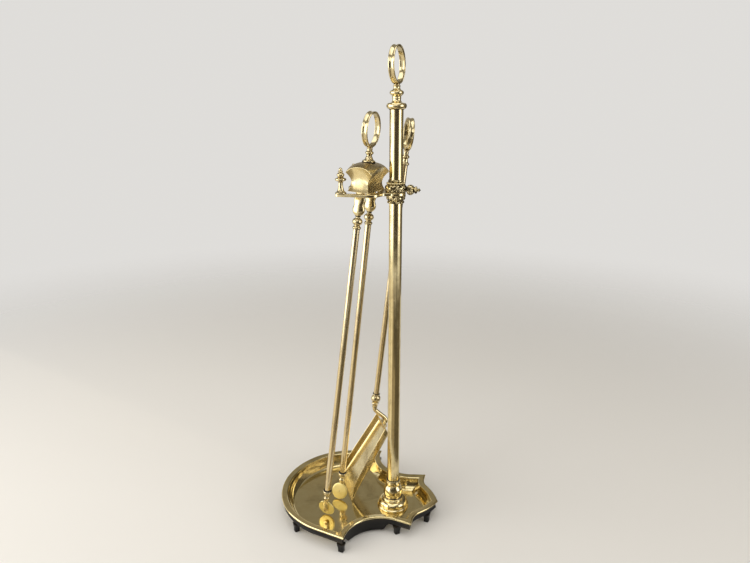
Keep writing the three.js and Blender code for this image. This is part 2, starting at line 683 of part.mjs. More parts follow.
// Four-sided head: drawn in at the waist, with arched upper edges and a cushioned crown.
function buildHead() {
  const perSide = 6;
  const crownZ = (x, y) => {
    const shareX = Math.abs((2 * x) / headTopX) ** 2.5;
    const shareY = Math.abs((2 * y) / headTopY) ** 2.5;
    return headHeight - headEdgeFall * (shareX + shareY) - headCornerFall * shareX * shareY;
  };
  const square = [];
  for (let side = 0; side < 4; side += 1) {
    for (let step = 0; step < perSide; step += 1) {
      const along = -1 + (2 * step) / perSide;
      const corner = new THREE.Vector2(along, -1).rotateAround(new THREE.Vector2(), (side * Math.PI) / 2);
      square.push(corner);
    }
  }
  const rings = [];
  const sideSteps = 8;
  for (let step = 0; step <= sideSteps; step += 1) {
    const t = step / sideSteps;
    const drawnIn = headWaist * 4 * t * (1 - t);
    const halfX = THREE.MathUtils.lerp(headBottomX, headTopX, t) / 2 - drawnIn;
    const halfY = THREE.MathUtils.lerp(headBottomY, headTopY, t) / 2 - drawnIn;
    rings.push(square.map(({ x, y }) => {
      const rim = crownZ((x * headTopX) / 2, (y * headTopY) / 2);
      return new THREE.Vector3(x * halfX, y * halfY, rim * t);
    }));
  }
  for (const share of crownShares) {
    rings.push(square.map(({ x, y }) => {
      const px = (x * share * headTopX) / 2;
      const py = (y * share * headTopY) / 2;
      return new THREE.Vector3(px, py, crownZ(px, py));
    }));
  }
  const roofZ = headCornerHeight - headRoof;
  const pocketRing = (flare, z) => [[-1, -1], [1, -1], [1, 1], [-1, 1]].map(([x, y]) => (
    new THREE.Vector3(x * (pocketX + flare), y * (pocketY + flare), z)
  ));
  const mouthRing = pocketRing(pocketFlare, -overrun);
  const pocket = skin([mouthRing, pocketRing(0, headHeight / 2), pocketRing(0, roofZ)], false);
  const studBore = rod(tongsStemStud + 2 * threadRoom, roofZ - overrun, headHeight + overrun);
  const pinBores = [-1, 1].map((side) => (
    rod(pinDiameter + 2 * threadRoom, -headBottomX, headBottomX, 12).rotateY(Math.PI / 2)
      .translate(0, side * pinSpacing / 2, pinHeight)
  ));
  return cut(skin(rings, false), pocket, studBore, ...pinBores);
}

function buildTongsStem() {
  const base = headHeight + seatGap;
  const at = (height) => base + height;
  const bottom = headCornerHeight - headRoof - tongsStemReach;
  const stud = tongsStemStud / 2;
  const bore = ringStudDiameter / 2 + threadRoom;
  const boreDepth = ringStudLength + seatGap;
  return new Section()
    .to(0, bottom).to(stud, bottom).to(stud, at(0)).to(8.6, at(0)).arc(9, at(2), 0.4, 2)
    .arc(5, at(6.5), -1, 3).to(3.9, at(8)).to(3.9, at(10)).to(5, at(11)).arc(5, at(14.4), 0.9, 3)
    .to(3.8, at(15.4)).to(4.2, at(tongsStemHeight)).to(bore, at(tongsStemHeight))
    .to(bore, at(tongsStemHeight - boreDepth)).to(0, at(tongsStemHeight - boreDepth))
    .turned(plain);
}

function buildKnuckle() {
  const bulbBottom = -bulbTop - bulbHeight;
  const tang = new THREE.Shape();
  tang.absarc(0, 0, knuckleEye, 0, Math.PI, false);
  tang.lineTo(-knuckleWidth / 2, -knuckleEye);
  tang.lineTo(-knuckleWidth / 2, -bulbTop - 2);
  tang.lineTo(knuckleWidth / 2, -bulbTop - 2);
  tang.lineTo(knuckleWidth / 2, -knuckleEye);
  const tangPlate = plate(tang, -knuckleThickness / 2, knuckleThickness / 2, 6).rotateX(Math.PI / 2);
  const bulb = new Section()
    .to(0, bulbBottom).to(3.6, bulbBottom).to(3.6, bulbBottom + 2)
    .arc(8.6, -bulbTop - 12, 1.4, 3).arc(6.5, -bulbTop, 2.2, 3).to(0, -bulbTop)
    .turned(plain)
    .scale(1.1, 0.56, 1);
  const pinBore = rod(pinDiameter + 2 * threadRoom, -knuckleWidth, knuckleWidth, 12).rotateY(Math.PI / 2);
  const collarBoreEnd = bulbBottom + collarStudLength + seatGap;
  const collarBore = rod(collarStud + 2 * threadRoom, bulbBottom - overrun, collarBoreEnd, 8);
  return cut(join(tangPlate, bulb), pinBore, collarBore);
}

// Turned collar under the bulb: stud up, knob, ring, socket for the shaft.
function buildLegCollar() {
  const top = -bulbTop - bulbHeight - seatGap;
  const plug = legDiameter / 2 - shaftWall - threadRoom;
  const stud = collarStud / 2;
  const at = (drop) => top - drop;
  return new Section()
    .to(0, at(collarHeight + 3)).to(plug, at(collarHeight + 3)).to(plug, at(collarHeight))
    .to(5.4, at(collarHeight)).arc(5.4, at(15.4), 0.8, 2).to(4.2, at(14)).to(4.4, at(12.6))
    .arc(3.8, at(3), 3.2, 5).to(3.2, at(1.6)).to(3.8, at(0))
    .to(stud, at(0)).to(stud, at(-collarStudLength)).to(0, at(-collarStudLength))
    .turned(slim);
}

function buildLegShaft() {
  const outer = legDiameter / 2;
  const inner = outer - shaftWall;
  return new Section().to(inner, toeTop + seatGap).to(outer, toeTop + seatGap).to(outer, shaftTop)
    .to(inner, shaftTop).to(inner, toeTop + seatGap)
    .turned(slim);
}

// Turned toe with a flat tongue that lies on the back of the disc.
function buildLegToe() {
  const plug = legDiameter / 2 - shaftWall - threadRoom;
  const at = (drop) => toeTop - drop;
  const turnedToe = new Section()
    .to(0, at(19)).arc(4.6, at(14.6), 1.6, 3).arc(3.4, at(11), 0.9, 2).arc(3.4, at(8.6), -0.4, 2)
    .to(5, at(7.4)).arc(6.3, at(3.4), 0.8, 2).arc(6.3, at(0.8), 0.6, 2).to(5.2, at(0))
    .to(plug, at(0)).to(plug, at(-5)).to(0, at(-5))
    .turned(slim);
  const tongueY = gripThickness / 2 + seatGap + tongueThickness / 2;
  const tongue = block(tongueWidth, tongueThickness, tongueLength, 0, tongueY, 6);
  const lying = tongue.rotateX(-rad(gripTilt)).translate(0, -gripInset, -legLength);
  const bore = rod(leafRivet + 2 * threadRoom, 0, 12, 8).rotateX(-Math.PI / 2).rotateX(-rad(gripTilt));
  return cut(join(turnedToe, lying), bore.translate(0, -gripInset, -legLength));
}

function discFrame(parent) {
  const frame = new THREE.Group();
  frame.position.set(0, -gripInset, -legLength);
  frame.rotation.x = -rad(gripTilt);
  parent.add(frame);
  return frame;
}

// Round gripping disc, a little dished on its gripping face, which looks along local -Y.
function buildDisc() {
  const half = gripThickness / 2;
  const edge = gripDiameter / 2;
  const bore = leafRivet / 2 + threadRoom;
  return new Section()
    .to(bore, -half).to(edge - 0.8, -half).arc(edge - 0.8, half, 0.7, 3).to(bore, half).to(bore, -half)
    .turned(20)
    .rotateX(Math.PI / 2);
}

function buildLeafRivet() {
  const head = leafRivet + 0.4;
  const front = gripThickness / 2 + seatGap;
  const back = gripThickness / 2 + tongueThickness + 2 * seatGap;
  return new Section()
    .to(0, -front - 1.1).arc(head, -front, 0.3, 2).to(leafRivet / 2, -front).to(leafRivet / 2, back)
    .to(head, back).arc(0, back + 1.3, 0.3, 2)
    .turned(12)
    .rotateX(-Math.PI / 2);
}

function buildLeg(head, side, outwards) {
  const hinge = new THREE.Group();
  hinge.position.set(0, outwards * pinSpacing / 2, pinHeight);
  hinge.rotation.x = rad(outwards * tongsSplay - tongsSkew);
  head.add(hinge);
  const leg = new THREE.Group();
  leg.rotation.z = outwards > 0 ? 0 : Math.PI;
  hinge.add(leg);
  place(leg, `${side}_leg_knuckle`, buildKnuckle(), polishedBrass);
  place(leg, `${side}_leg_collar`, buildLegCollar(), polishedBrass);
  place(leg, `${side}_leg_shaft`, buildLegShaft(), polishedBrass);
  place(leg, `${side}_leg_toe`, buildLegToe(), polishedBrass);
  const frame = discFrame(leg);
  place(frame, `${side}_grip_disc`, buildDisc(), polishedBrass);
  place(frame, `${side}_disc_rivet`, buildLeafRivet(), oldBrass);
}

function buildTongs() {
  const head = new THREE.Group();
  const drop = (headBottomX / 2) * Math.sin(rad(tongsLean));
  head.position.set(columnX + tongsX, tongsY, bracketTopZ + seatGap + drop);
  head.rotation.set(0, rad(tongsLean), rad(tongsTwist), "ZYX");
  model.add(head);
  place(head, "tongs_head", buildHead(), polishedBrass);
  place(head, "tongs_stem", buildTongsStem(), polishedBrass);
  const ring = place(head, "tongs_ring", buildRing(tongsRingRadius), polishedBrass);
  ring.position.z = headHeight + 2 * seatGap + tongsStemHeight;
  const nutTop = headCornerHeight - headRoof - seatGap;
  const nut = rod(tongsNutWidth, nutTop - tongsNutHeight, nutTop, 6);
  place(head, "tongs_nut", cut(nut, rod(tongsStemStud + 2 * threadRoom, 0, headHeight)), plainSteel);
  const pinHalf = headBottomX / 2 - headWaist * 0.8;
  [-1, 1].forEach((outwards, index) => {
    const pin = place(head, `tongs_pin_${index + 1}`, rod(pinDiameter, -pinHalf, pinHalf), plainSteel);
    pin.geometry.rotateY(Math.PI / 2);
    pin.position.set(0, outwards * pinSpacing / 2, pinHeight);
  });
  buildLeg(head, "near", -1);
  buildLeg(head, "far", 1);
}

// ---------------------------------------------------------------- shovel

// Sheet pan, drawn lying down: lip on x = 0, walls standing along +Z.
function buildPan() {
  const panOutline = (inset, lipEnd) => {
    const back = panLength - inset;
    const slope = (panLipWidth - panBackWidth) / 2 / panLength;
    const halfLip = panLipWidth / 2 - inset;
    const halfBack = panBackWidth / 2 - inset + slope * inset;
    const corner = panCorner - inset;
    const shape = new THREE.Shape();
    shape.moveTo(lipEnd, -halfLip);
    shape.lineTo(back - corner, -halfBack - slope * corner);
    shape.quadraticCurveTo(back, -halfBack, back, -halfBack + corner);
    shape.lineTo(back, halfBack - corner);
    shape.quadraticCurveTo(back, halfBack, back - corner, halfBack + slope * corner);
    shape.lineTo(lipEnd, halfLip);
    return shape;
  };
  const outer = leanBack(plate(panOutline(0, 0), 0, panWallHeight, 6));
  const inner = leanBack(plate(panOutline(panSheet, -overrun), panSheet, panWallHeight + overrun, 6));
  const side = new THREE.Shape();
  side.moveTo(-overrun, panSheet);
  side.lineTo(0, panSheet);
  side.quadraticCurveTo(panWallHeight / 2, panWallHeight, panLength / 4, panWallHeight + overrun);
  side.lineTo(-overrun, panWallHeight + overrun);
  const lipCut = plate(side, -panLipWidth, panLipWidth, 6).rotateX(Math.PI / 2);
  const rivetBores = [-1, 1].map((hand) => (
    rod(palmRivet + 2 * threadRoom, -2 * panSheet, overrun, 8).rotateY(Math.PI / 2)
      .translate(0, hand * rivetSpacing / 2, 0)
      .applyMatrix4(backFrame())
  ));
  return cut(outer, inner, lipCut, ...rivetBores);
}

// Stretches the pan a little more the higher it goes, so that its back wall leans out.
function leanBack(geometry) {
  const points = geometry.getAttribute("position");
  for (let i = 0; i < points.count; i += 1) {
    const stretch = 1 + panBackLean / panLength * points.getZ(i) / panWallHeight;
    points.setX(i, points.getX(i) * stretch);
  }
  return geometry;
}

// The pan from the tray; the middle of its back wall from the pan, +X outwards; the socket's knob.
const panFrame = () => frameAt(columnX + lipX, lipY, lipZ, rad(panYaw), -rad(panPitch));
const backFrame = () => frameAt(panLength + panBackLean / 2, 0, panWallHeight / 2, 0, backAngle);
const knobFrame = () => frameAt(columnX + knobX, knobY, knobZ, shaftYaw, shaftLean);

function frameAt(x, y, z, yaw, lean) {
  const frame = new THREE.Matrix4().makeTranslation(x, y, z);
  frame.multiply(new THREE.Matrix4().makeRotationZ(yaw));
  return frame.multiply(new THREE.Matrix4().makeRotationY(lean));
}

// Path of the neck from inside the socket to the back of the pan.
function neckPath() {
  const hanging = (height) => new THREE.Vector3(0, 0, height).applyMatrix4(knobFrame());
  const palmFrame = panFrame().multiply(backFrame());
  const standing = (out) => new THREE.Vector3(out, 0, 0).applyMatrix4(palmFrame);
  const mouth = -socketDrop - 2;
  const palm = seatGap + palmThickness / 2;
  const path = new THREE.CurvePath();
  path.add(new THREE.LineCurve3(hanging(-neckSeat - 2), hanging(mouth)));
  const bendIn = hanging(mouth - neckDrop);
  const bendOut = standing(palm + neckSweep);
  path.add(new THREE.CubicBezierCurve3(hanging(mouth), bendIn, bendOut, standing(palm)));
  return path;
}

function buildNeck() {
  const round = new THREE.Shape();
  round.absarc(0, 0, neckDiameter / 2, 0, 2 * Math.PI, false);
  const bar = new THREE.ExtrudeGeometry(round, { steps: 18, extrudePath: neckPath(), curveSegments: 5 });
  const palm = new THREE.Shape();
  palm.absarc(0, -rivetSpacing / 2, palmHeight / 2, Math.PI, 2 * Math.PI, false);
  palm.absarc(0, rivetSpacing / 2, palmHeight / 2, 0, Math.PI, false);
  const palmFrame = panFrame().multiply(backFrame());
  const lying = plate(palm, 0, palmThickness, 5).rotateY(Math.PI / 2)
    .translate(seatGap, 0, 0)
    .applyMatrix4(palmFrame);
  const bores = [-1, 1].map((hand) => (
    rod(palmRivet + 2 * threadRoom, -2, 8, 8).rotateY(Math.PI / 2)
      .translate(0, hand * rivetSpacing / 2, 0)
      .applyMatrix4(palmFrame)
  ));
  return cut(join(bar, lying), ...bores);
}

// Turned socket between neck and shaft, with a knob at its middle (height 0).
function buildSocket() {
  const bore = neckDiameter / 2 + threadRoom;
  const spigot = shaftDiameter / 2 - shaftWall - threadRoom;
  return new Section()
    .to(bore, -socketDrop).to(bore + 0.9, -socketDrop).arc(bore + 2.2, -9, -0.7, 3)
    .to(bore + 1.4, -8).to(bore + 2, -6.4).arc(bore + 2, 4.4, 2.1, 5).to(bore + 1, 5.4)
    .arc(bore + 1.6, shaftSeat, 0.8, 2).to(spigot, shaftSeat).to(spigot, shaftSeat + 5)
    .to(0, shaftSeat + 5).to(0, -neckSeat).to(bore, -neckSeat).to(bore, -socketDrop)
    .turned(plain);
}

function buildShovelShaft() {
  const outer = shaftDiameter / 2;
  const inner = outer - shaftWall;
  const bottom = shaftSeat + seatGap;
  const top = shaftSeat + shaftLength;
  return new Section().to(inner, bottom).to(outer, bottom).to(outer, top).to(inner, top).to(inner, bottom)
    .turned(slim);
}

function buildShovelStem() {
  const spigot = shaftDiameter / 2 - shaftWall - threadRoom;
  const at = (height) => shaftSeat + shaftLength + seatGap + height;
  const bore = ringStudDiameter / 2 + threadRoom;
  const end = shovelStemHeight;
  const boreEnd = end - ringStudLength - seatGap;
  return new Section()
    .to(0, at(-8)).to(spigot, at(-8)).to(spigot, at(0)).to(6, at(0)).arc(6.2, at(2.2), 0.5, 2)
    .arc(4.1, at(6.4), -0.7, 3).to(3.6, at(8.4)).to(4.8, at(9.6)).arc(4.8, at(13), 0.9, 3)
    .to(3.6, at(14.2)).to(4, at(end)).to(bore, at(end)).to(bore, at(boreEnd)).to(0, at(boreEnd))
    .turned(plain);
}

function buildPalmRivet() {
  const start = -panSheet * Math.cos(backAngle) - seatGap;
  const end = palmThickness + 2 * seatGap;
  const head = palmRivet;
  return new Section()
    .to(0, start - 1.1).arc(head, start, 0.3, 2).to(palmRivet / 2, start).to(palmRivet / 2, end)
    .to(head, end).arc(0, end + 1.2, 0.3, 2)
    .turned(12)
    .rotateY(Math.PI / 2);
}

function buildShovel() {
  const pan = new THREE.Group();
  pan.applyMatrix4(panFrame());
  model.add(pan);
  place(pan, "shovel_pan", buildPan(), polishedBrass);
  const back = new THREE.Group();
  back.applyMatrix4(backFrame());
  pan.add(back);
  [-1, 1].forEach((hand, index) => {
    const rivet = place(back, `shovel_rivet_${index + 1}`, buildPalmRivet(), oldBrass);
    rivet.position.y = hand * rivetSpacing / 2;
  });
  place(model, "shovel_neck", buildNeck(), polishedBrass);

  const handle = new THREE.Group();
  handle.applyMatrix4(knobFrame());
  model.add(handle);
  place(handle, "shovel_socket", buildSocket(), polishedBrass);
  place(handle, "shovel_shaft", buildShovelShaft(), polishedBrass);
  place(handle, "shovel_stem", buildShovelStem(), polishedBrass);
  const ring = place(handle, "shovel_ring", buildRing(shovelRingRadius), polishedBrass);
  ring.rotation.z = rad(shovelRingTurn);
  ring.position.z = shaftSeat + shaftLength + shovelStemHeight + 2 * seatGap;
}

buildStand();
buildTongs();
buildShovel();

export default model;
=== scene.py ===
import json
from math import asin, atan2, cos, degrees, hypot, pi, radians, sin, sqrt, tan

import bmesh
import bpy
from mathutils import Matrix, Vector


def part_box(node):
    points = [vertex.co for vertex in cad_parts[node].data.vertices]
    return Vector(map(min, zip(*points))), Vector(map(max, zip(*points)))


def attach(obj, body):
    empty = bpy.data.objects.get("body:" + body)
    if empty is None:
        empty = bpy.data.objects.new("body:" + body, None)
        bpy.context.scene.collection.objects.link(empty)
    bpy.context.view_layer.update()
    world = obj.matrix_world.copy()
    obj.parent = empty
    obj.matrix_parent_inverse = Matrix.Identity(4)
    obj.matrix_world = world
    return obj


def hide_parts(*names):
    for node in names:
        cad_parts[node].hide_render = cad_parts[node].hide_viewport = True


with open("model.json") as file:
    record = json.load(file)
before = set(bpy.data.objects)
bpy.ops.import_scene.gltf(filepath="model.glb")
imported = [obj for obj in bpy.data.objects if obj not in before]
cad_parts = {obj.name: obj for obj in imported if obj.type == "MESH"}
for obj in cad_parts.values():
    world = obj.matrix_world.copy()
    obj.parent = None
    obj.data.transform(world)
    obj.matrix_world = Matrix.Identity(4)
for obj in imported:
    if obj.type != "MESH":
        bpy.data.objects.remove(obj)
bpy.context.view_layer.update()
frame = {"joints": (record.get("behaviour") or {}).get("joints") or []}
joints = {joint["name"]: joint for joint in frame["joints"]}

mm = 0.001


def at(x, y, z):
    return Matrix.Translation(Vector((x, y, z)) * mm)


def turn(angle, axis):
    return Matrix.Rotation(radians(angle), 4, axis)


# finishes: node boards written as plain sums

class Wire:  # a node's output, usable in plain sums
    def __init__(self, board, socket):
        self.board = board
        self.socket = socket

    def combine(self, operation, first, second):
        return self.board.add("ShaderNodeMath", {"operation": operation}, {0: first, 1: second})

    def __add__(self, other):
        return self.combine("ADD", self, other)

    __radd__ = __add__

    def __sub__(self, other):
        return self.combine("SUBTRACT", self, other)

    def __rsub__(self, other):
        return self.combine("SUBTRACT", other, self)

    def __mul__(self, other):
        return self.combine("MULTIPLY", self, other)

    __rmul__ = __mul__


class Finish:  # the node board of one material, or of the world
    def __init__(self, name, world=None):
        self.holder = world or bpy.data.materials.new(name)
        self.holder.use_nodes = True
        self.tree = self.holder.node_tree
        self.tree.nodes.clear()

    def add(self, kind, settings=None, values=None, out=0):
        node = self.tree.nodes.new(kind)
        for key, value in (settings or {}).items():
            setattr(node, key, value)
        for key, value in (values or {}).items():
            socket = node.inputs[key]
            if isinstance(value, Wire):
                self.tree.links.new(value.socket, socket)
            elif socket.type == "RGBA" and len(value) == 3:
                socket.default_value = (*value, 1)
            else:
                socket.default_value = value
        return Wire(self, node.outputs[out]) if node.outputs else None

    def where(self, out="Object"):
        return self.add("ShaderNodeTexCoord", out=out)

    def pointiness(self):
        return self.add("ShaderNodeNewGeometry", out="Pointiness")

    def height(self, vector):
        return self.add("ShaderNodeSeparateXYZ", None, {0: vector}, "Z")

    def noise(self, where, scale, detail, roughness, distortion=0):
        values = {"Vector": where, "Scale": scale, "Detail": detail, "Roughness": roughness,
                  "Distortion": distortion}
        return self.add("ShaderNodeTexNoise", None, values)

    def stretched(self, where, x, y, z):
        return self.add("ShaderNodeMapping", None, {"Vector": where, "Scale": (x, y, z)})

    def ramp(self, value, low, high, fromLevel=0, toLevel=1):
        values = {"Value": value, "From Min": low, "From Max": high, "To Min": fromLevel, "To Max": toLevel}
        return self.add("ShaderNodeMapRange", {"interpolation_type": "SMOOTHSTEP"}, values)

    def blend(self, factor, first, second):
        return self.add("ShaderNodeMix", {"data_type": "RGBA"}, {0: factor, 6: first, 7: second}, 2)

    def higher(self, first, second):
        return self.add("ShaderNodeMath", {"operation": "MAXIMUM"}, {0: first, 1: second})

    def bump(self, height, distance):
        return self.add("ShaderNodeBump", None, {"Height": height, "Distance": distance})

    def surface(self, **values):
        named = {key.replace("_", " "): value for key, value in values.items()}
        shader = self.add("ShaderNodeBsdfPrincipled", None, named)
        self.add("ShaderNodeOutputMaterial", None, {"Surface": shader})
        return self.holder

    def glow(self, kind, outputKind, colour):
        self.add(outputKind, None, {"Surface": self.add(kind, None, {"Color": colour, "Strength": 1})})
        return self.holder


def brass(name, look):
    board = Finish(name)
    where = board.where()
    clouds = board.noise(where, look["cloudScale"], 5, 0.6, distortion=0.6)
    smears = board.noise(board.stretched(where, 1, 1, 0.35), look["cloudScale"] * 5, 4, 0.6)
    specks = board.ramp(board.noise(where, 900, 2, 0.5), 0.7, 0.78)
    crevice = board.ramp(board.pointiness(), 0.495, look["creviceAt"])
    tarnish = board.ramp(clouds, 0.42, 0.74) * look["tarnish"] + specks * look["specks"]
    tarnish = board.higher(tarnish, crevice * look["crevice"])
    if look["darkerBelow"]:  # darker brown towards the lower edge
        low = board.ramp(board.height(where) + clouds * 0.012, look["darkerBelowFrom"], look["darkerBelowFull"])
        tarnish = board.higher(tarnish, low * look["darkerBelow"])
    if look["topPaintedShade"]:  # painted shade: darker brown on a face that looks up
        facing = board.height(board.where("Normal"))
        tarnish = board.higher(tarnish, board.ramp(facing, 0.7, 0.93) * look["topPaintedShade"])
    relief = clouds * look["dents"]
    if look["chasing"]:  # cast leaf work, worn bright on its tops and black in its hollows
        leaves = board.noise(board.stretched(where, 1, 1, 0.8), look["chaseScale"], 2, 0.5, distortion=1.2)
        tarnish = board.higher(tarnish, board.ramp(leaves, 0.56, 0.45) * look["chasing"])
        relief = relief + board.ramp(leaves, 0.35, 0.6) * look["chaseDepth"]
    warm = board.blend(board.ramp(smears, 0.35, 0.7) * look["smears"], look["bright"], look["warm"])
    # the tarnish mask also carries the painted shade on faces that look up
    colour = board.blend(tarnish, warm, look["brown"])
    fine = board.noise(board.stretched(where, *look["grain"]), 1400, 3, 0.6)
    rough = board.ramp(smears, 0.3, 0.75, look["gloss"], look["gloss"] + look["smearDull"])
    rough = rough + tarnish * look["tarnishDull"] + (fine - 0.5) * look["grainDull"]
    normal = board.bump(relief + fine * look["grainDepth"], 1 * mm)
    return board.surface(Base_Color=colour, Metallic=1.0, Roughness=rough, Normal=normal)


brassLook = {
    "bright": (0.86, 0.735, 0.43), "warm": (0.79, 0.64, 0.34), "brown": (0.36, 0.27, 0.12),
    "gloss": 0.10, "smearDull": 0.1, "tarnishDull": 0.16, "grainDull": 0.06,
    "tarnish": 0.45, "specks": 0.35, "smears": 0.5, "crevice": 0.85, "creviceAt": 0.43,
    "cloudScale": 42, "dents": 0.15, "grain": (0.25, 0.25, 1.6), "grainDepth": 0.006,
    "chasing": 0, "chaseScale": 190, "chaseDepth": 1.5,
    "topPaintedShade": 0, "darkerBelow": 0, "darkerBelowFrom": 0.021, "darkerBelowFull": 0.009,
}
turnedBrass = brass("turned_brass", brassLook)
trayBrass = brass("tray_brass", {
    **brassLook, "bright": (0.82, 0.70, 0.39), "warm": (0.70, 0.57, 0.29), "brown": (0.33, 0.25, 0.11),
    "gloss": 0.06, "tarnish": 0.5, "cloudScale": 20, "dents": 0.12, "grain": (1, 1, 1), "grainDepth": 0.004,
})
shaftBrass = brass("shaft_brass", {
    **brassLook, "bright": (0.82, 0.69, 0.43), "warm": (0.72, 0.575, 0.34), "brown": (0.38, 0.28, 0.15),
    "gloss": 0.17, "tarnish": 0.55, "cloudScale": 22, "grain": (1.5, 1.5, 0.08), "grainDepth": 0.012,
})
panBrass = brass("pan_brass", {
    **brassLook, "gloss": 0.15, "tarnish": 0.6, "cloudScale": 24, "dents": 0.3, "grain": (0.1, 1.4, 1),
})
discBrass = brass("disc_brass", {
    **brassLook, "bright": (0.92, 0.78, 0.34), "warm": (0.88, 0.72, 0.28),
    "gloss": 0.3, "tarnish": 0.2, "creviceAt": 0.35, "dents": 0.05,
})
# tongs head: painted shade on its faces that look up, and darker towards its lower edge
headBrass = brass("head_brass", {
    **brassLook, "bright": (0.92, 0.80, 0.47), "warm": (0.84, 0.67, 0.33), "brown": (0.30, 0.215, 0.09),
    "gloss": 0.16, "tarnish": 0.25, "cloudScale": 30, "dents": 0.12, "topPaintedShade": 0.8, "darkerBelow": 0.6,
})
chasedBrass = brass("chased_brass", {
    **brassLook, "brown": (0.07, 0.05, 0.024), "gloss": 0.13, "tarnish": 0.8, "chasing": 1,
})
agedBrass = brass("aged_brass", {
    **brassLook, "bright": (0.74, 0.63, 0.38), "warm": (0.62, 0.50, 0.28), "brown": (0.11, 0.078, 0.036),
    "gloss": 0.12, "tarnish": 0.6, "crevice": 1, "creviceAt": 0.455, "cloudScale": 120,
})
ringBrass = brass("ring_brass", {
    **brassLook, "bright": (0.80, 0.69, 0.42), "warm": (0.68, 0.56, 0.32), "brown": (0.17, 0.125, 0.06),
    "gloss": 0.11, "tarnish": 0.5, "crevice": 1, "creviceAt": 0.47, "cloudScale": 55, "dents": 0.1,
})
rivetBrass = brass("rivet_brass", {**brassLook, "bright": (0.66, 0.5, 0.22), "gloss": 0.28, "tarnish": 0.8})

ironLook = {
    "black": (0.009, 0.0085, 0.008), "dust": (0.04, 0.034, 0.028), "worn": (0.09, 0.07, 0.045),
    "dustShare": 0.3, "wornShare": 0.5, "rough": 0.42, "metal": 0.2, "specular": 0.3, "relief": 0.6,
}


def castIron(name, look):
    board = Finish(name)
    where = board.where()
    grit = board.noise(where, 700, 4, 0.65)
    lumps = board.noise(where, 90, 3, 0.5)
    dust = board.ramp(board.noise(where, 60, 4, 0.6), 0.5, 0.8)
    edge = board.ramp(board.pointiness(), 0.53, 0.62)
    colour = board.blend(dust * look["dustShare"], look["black"], look["dust"])
    colour = board.blend(edge * look["wornShare"], colour, look["worn"])
    rough = look["rough"] + dust * 0.25 + (grit - 0.5) * 0.2
    normal = board.bump(grit * 0.25 + lumps, look["relief"] * mm)
    return board.surface(Base_Color=colour, Metallic=look["metal"], Roughness=rough,
                         Specular_IOR_Level=look["specular"], Normal=normal)


steelLook = {
    "grey": (0.46, 0.44, 0.41), "rust": (0.2, 0.12, 0.07), "rustShare": 0.6, "rough": 0.3, "metal": 0.9,
    "relief": 0.3,
}


def plainSteel(name, look):
    board = Finish(name)
    where = board.where()
    rings = board.noise(board.stretched(where, 0.2, 0.2, 3), 900, 2, 0.5)
    rust = board.ramp(board.noise(where, 300, 4, 0.6), 0.55, 0.75)
    colour = board.blend(rust * look["rustShare"], look["grey"], look["rust"])
    rough = look["rough"] + rust * 0.3 + rings * 0.1
    normal = board.bump(rings, look["relief"] * mm)
    return board.surface(Base_Color=colour, Metallic=look["metal"], Roughness=rough, Normal=normal)


gapShadeAndPolishLook = {
    "black": (0.012, 0.010, 0.008), "crumbs": (0.09, 0.066, 0.032), "crumbShare": 0.6, "rough": 0.5,
    "relief": 0.3,
}


# painted shade of the gap at a joint: black, with crumbs of dried polish
def makeGapShadeAndPolish(name, look):
    board = Finish(name)
    crumbs = board.noise(board.where(), 1300, 3, 0.6)
    share = board.ramp(crumbs, 0.5, 0.72) * look["crumbShare"]
    colour = board.blend(share, look["black"], look["crumbs"])
    normal = board.bump(crumbs, look["relief"] * mm)
    return board.surface(Base_Color=colour, Roughness=look["rough"] + crumbs * 0.3, Normal=normal)


blackIron = castIron("blackened_iron", ironLook)
# the black of the joints: painted shade, with dried polish
gapShadeAndPolish = makeGapShadeAndPolish("gap_shade_and_polish", gapShadeAndPolishLook)
steel = plainSteel("turned_steel", steelLook)
print("finishes: brass, iron and steel ready")


# sections and rings in millimetres, and the meshes made from them

onAxis = 1e-6
easing = {"fromBend": 24, "share": 0.42, "steps": 3}


class Profile:  # half section of a piece in millimetres: out from the axis, and up
    def __init__(self, out, up):
        self.points = [Vector((out, up))]

    def to(self, out, up):
        self.points.append(Vector((out, up)))
        return self

    # an arc from the last point, bulging to the right of its travel
    def arc(self, out, up, bulge, steps=10):
        start = self.points[-1]
        end = Vector((out, up))
        chord = end - start
        half = chord.length / 2
        radius = (half * half + bulge * bulge) / (2 * bulge)
        side = Vector((chord.y, -chord.x)).normalized()
        centre = (start + end) / 2 + side * (bulge - radius)
        sweep = 2 * atan2(half, abs(radius) - abs(bulge)) * (1 if bulge > 0 else -1)
        for step in range(1, steps):
            spoke = Matrix.Rotation(sweep * step / steps, 2) @ (start - centre)
            self.points.append(centre + spoke)
        self.points.append(end)
        return self

    def raised(self, height):
        self.points = [point + Vector((0, height)) for point in self.points]
        return self

    # the same line with its corners eased
    def eased(self, radius, closed=False):
        points = self.points
        count = len(points)
        done = []
        for i, point in enumerate(points):
            if not closed and i in (0, count - 1):
                done.append(point)
                continue
            before = points[i - 1] - point
            after = points[(i + 1) % count] - point
            bend = pi - before.angle(after, pi)
            if bend < radians(easing["fromBend"]) or point.x < onAxis:
                done.append(point)
                continue
            shorter = min(before.length, after.length)
            reach = min(radius * tan(bend / 2), easing["share"] * shorter)
            first = point + before.normalized() * reach
            last = point + after.normalized() * reach
            done += bentPoints(first, point, last, easing["steps"])
        return done


def rod(radius, bottom, top):
    return Profile(0, bottom).to(radius, bottom).to(radius, top).to(0, top)


def arcPoints(centre, radius, first, last, steps):
    angles = [radians(first + (last - first) * step / steps) for step in range(steps + 1)]
    return [Vector((centre[0] + radius * cos(a), centre[1] + radius * sin(a))) for a in angles]


def bentPoints(start, control, end, steps=10):
    a, b, c = Vector(start), Vector(control), Vector(end)
    shares = [step / steps for step in range(steps + 1)]
    return [a * (1 - t) ** 2 + b * 2 * t * (1 - t) + c * t ** 2 for t in shares]


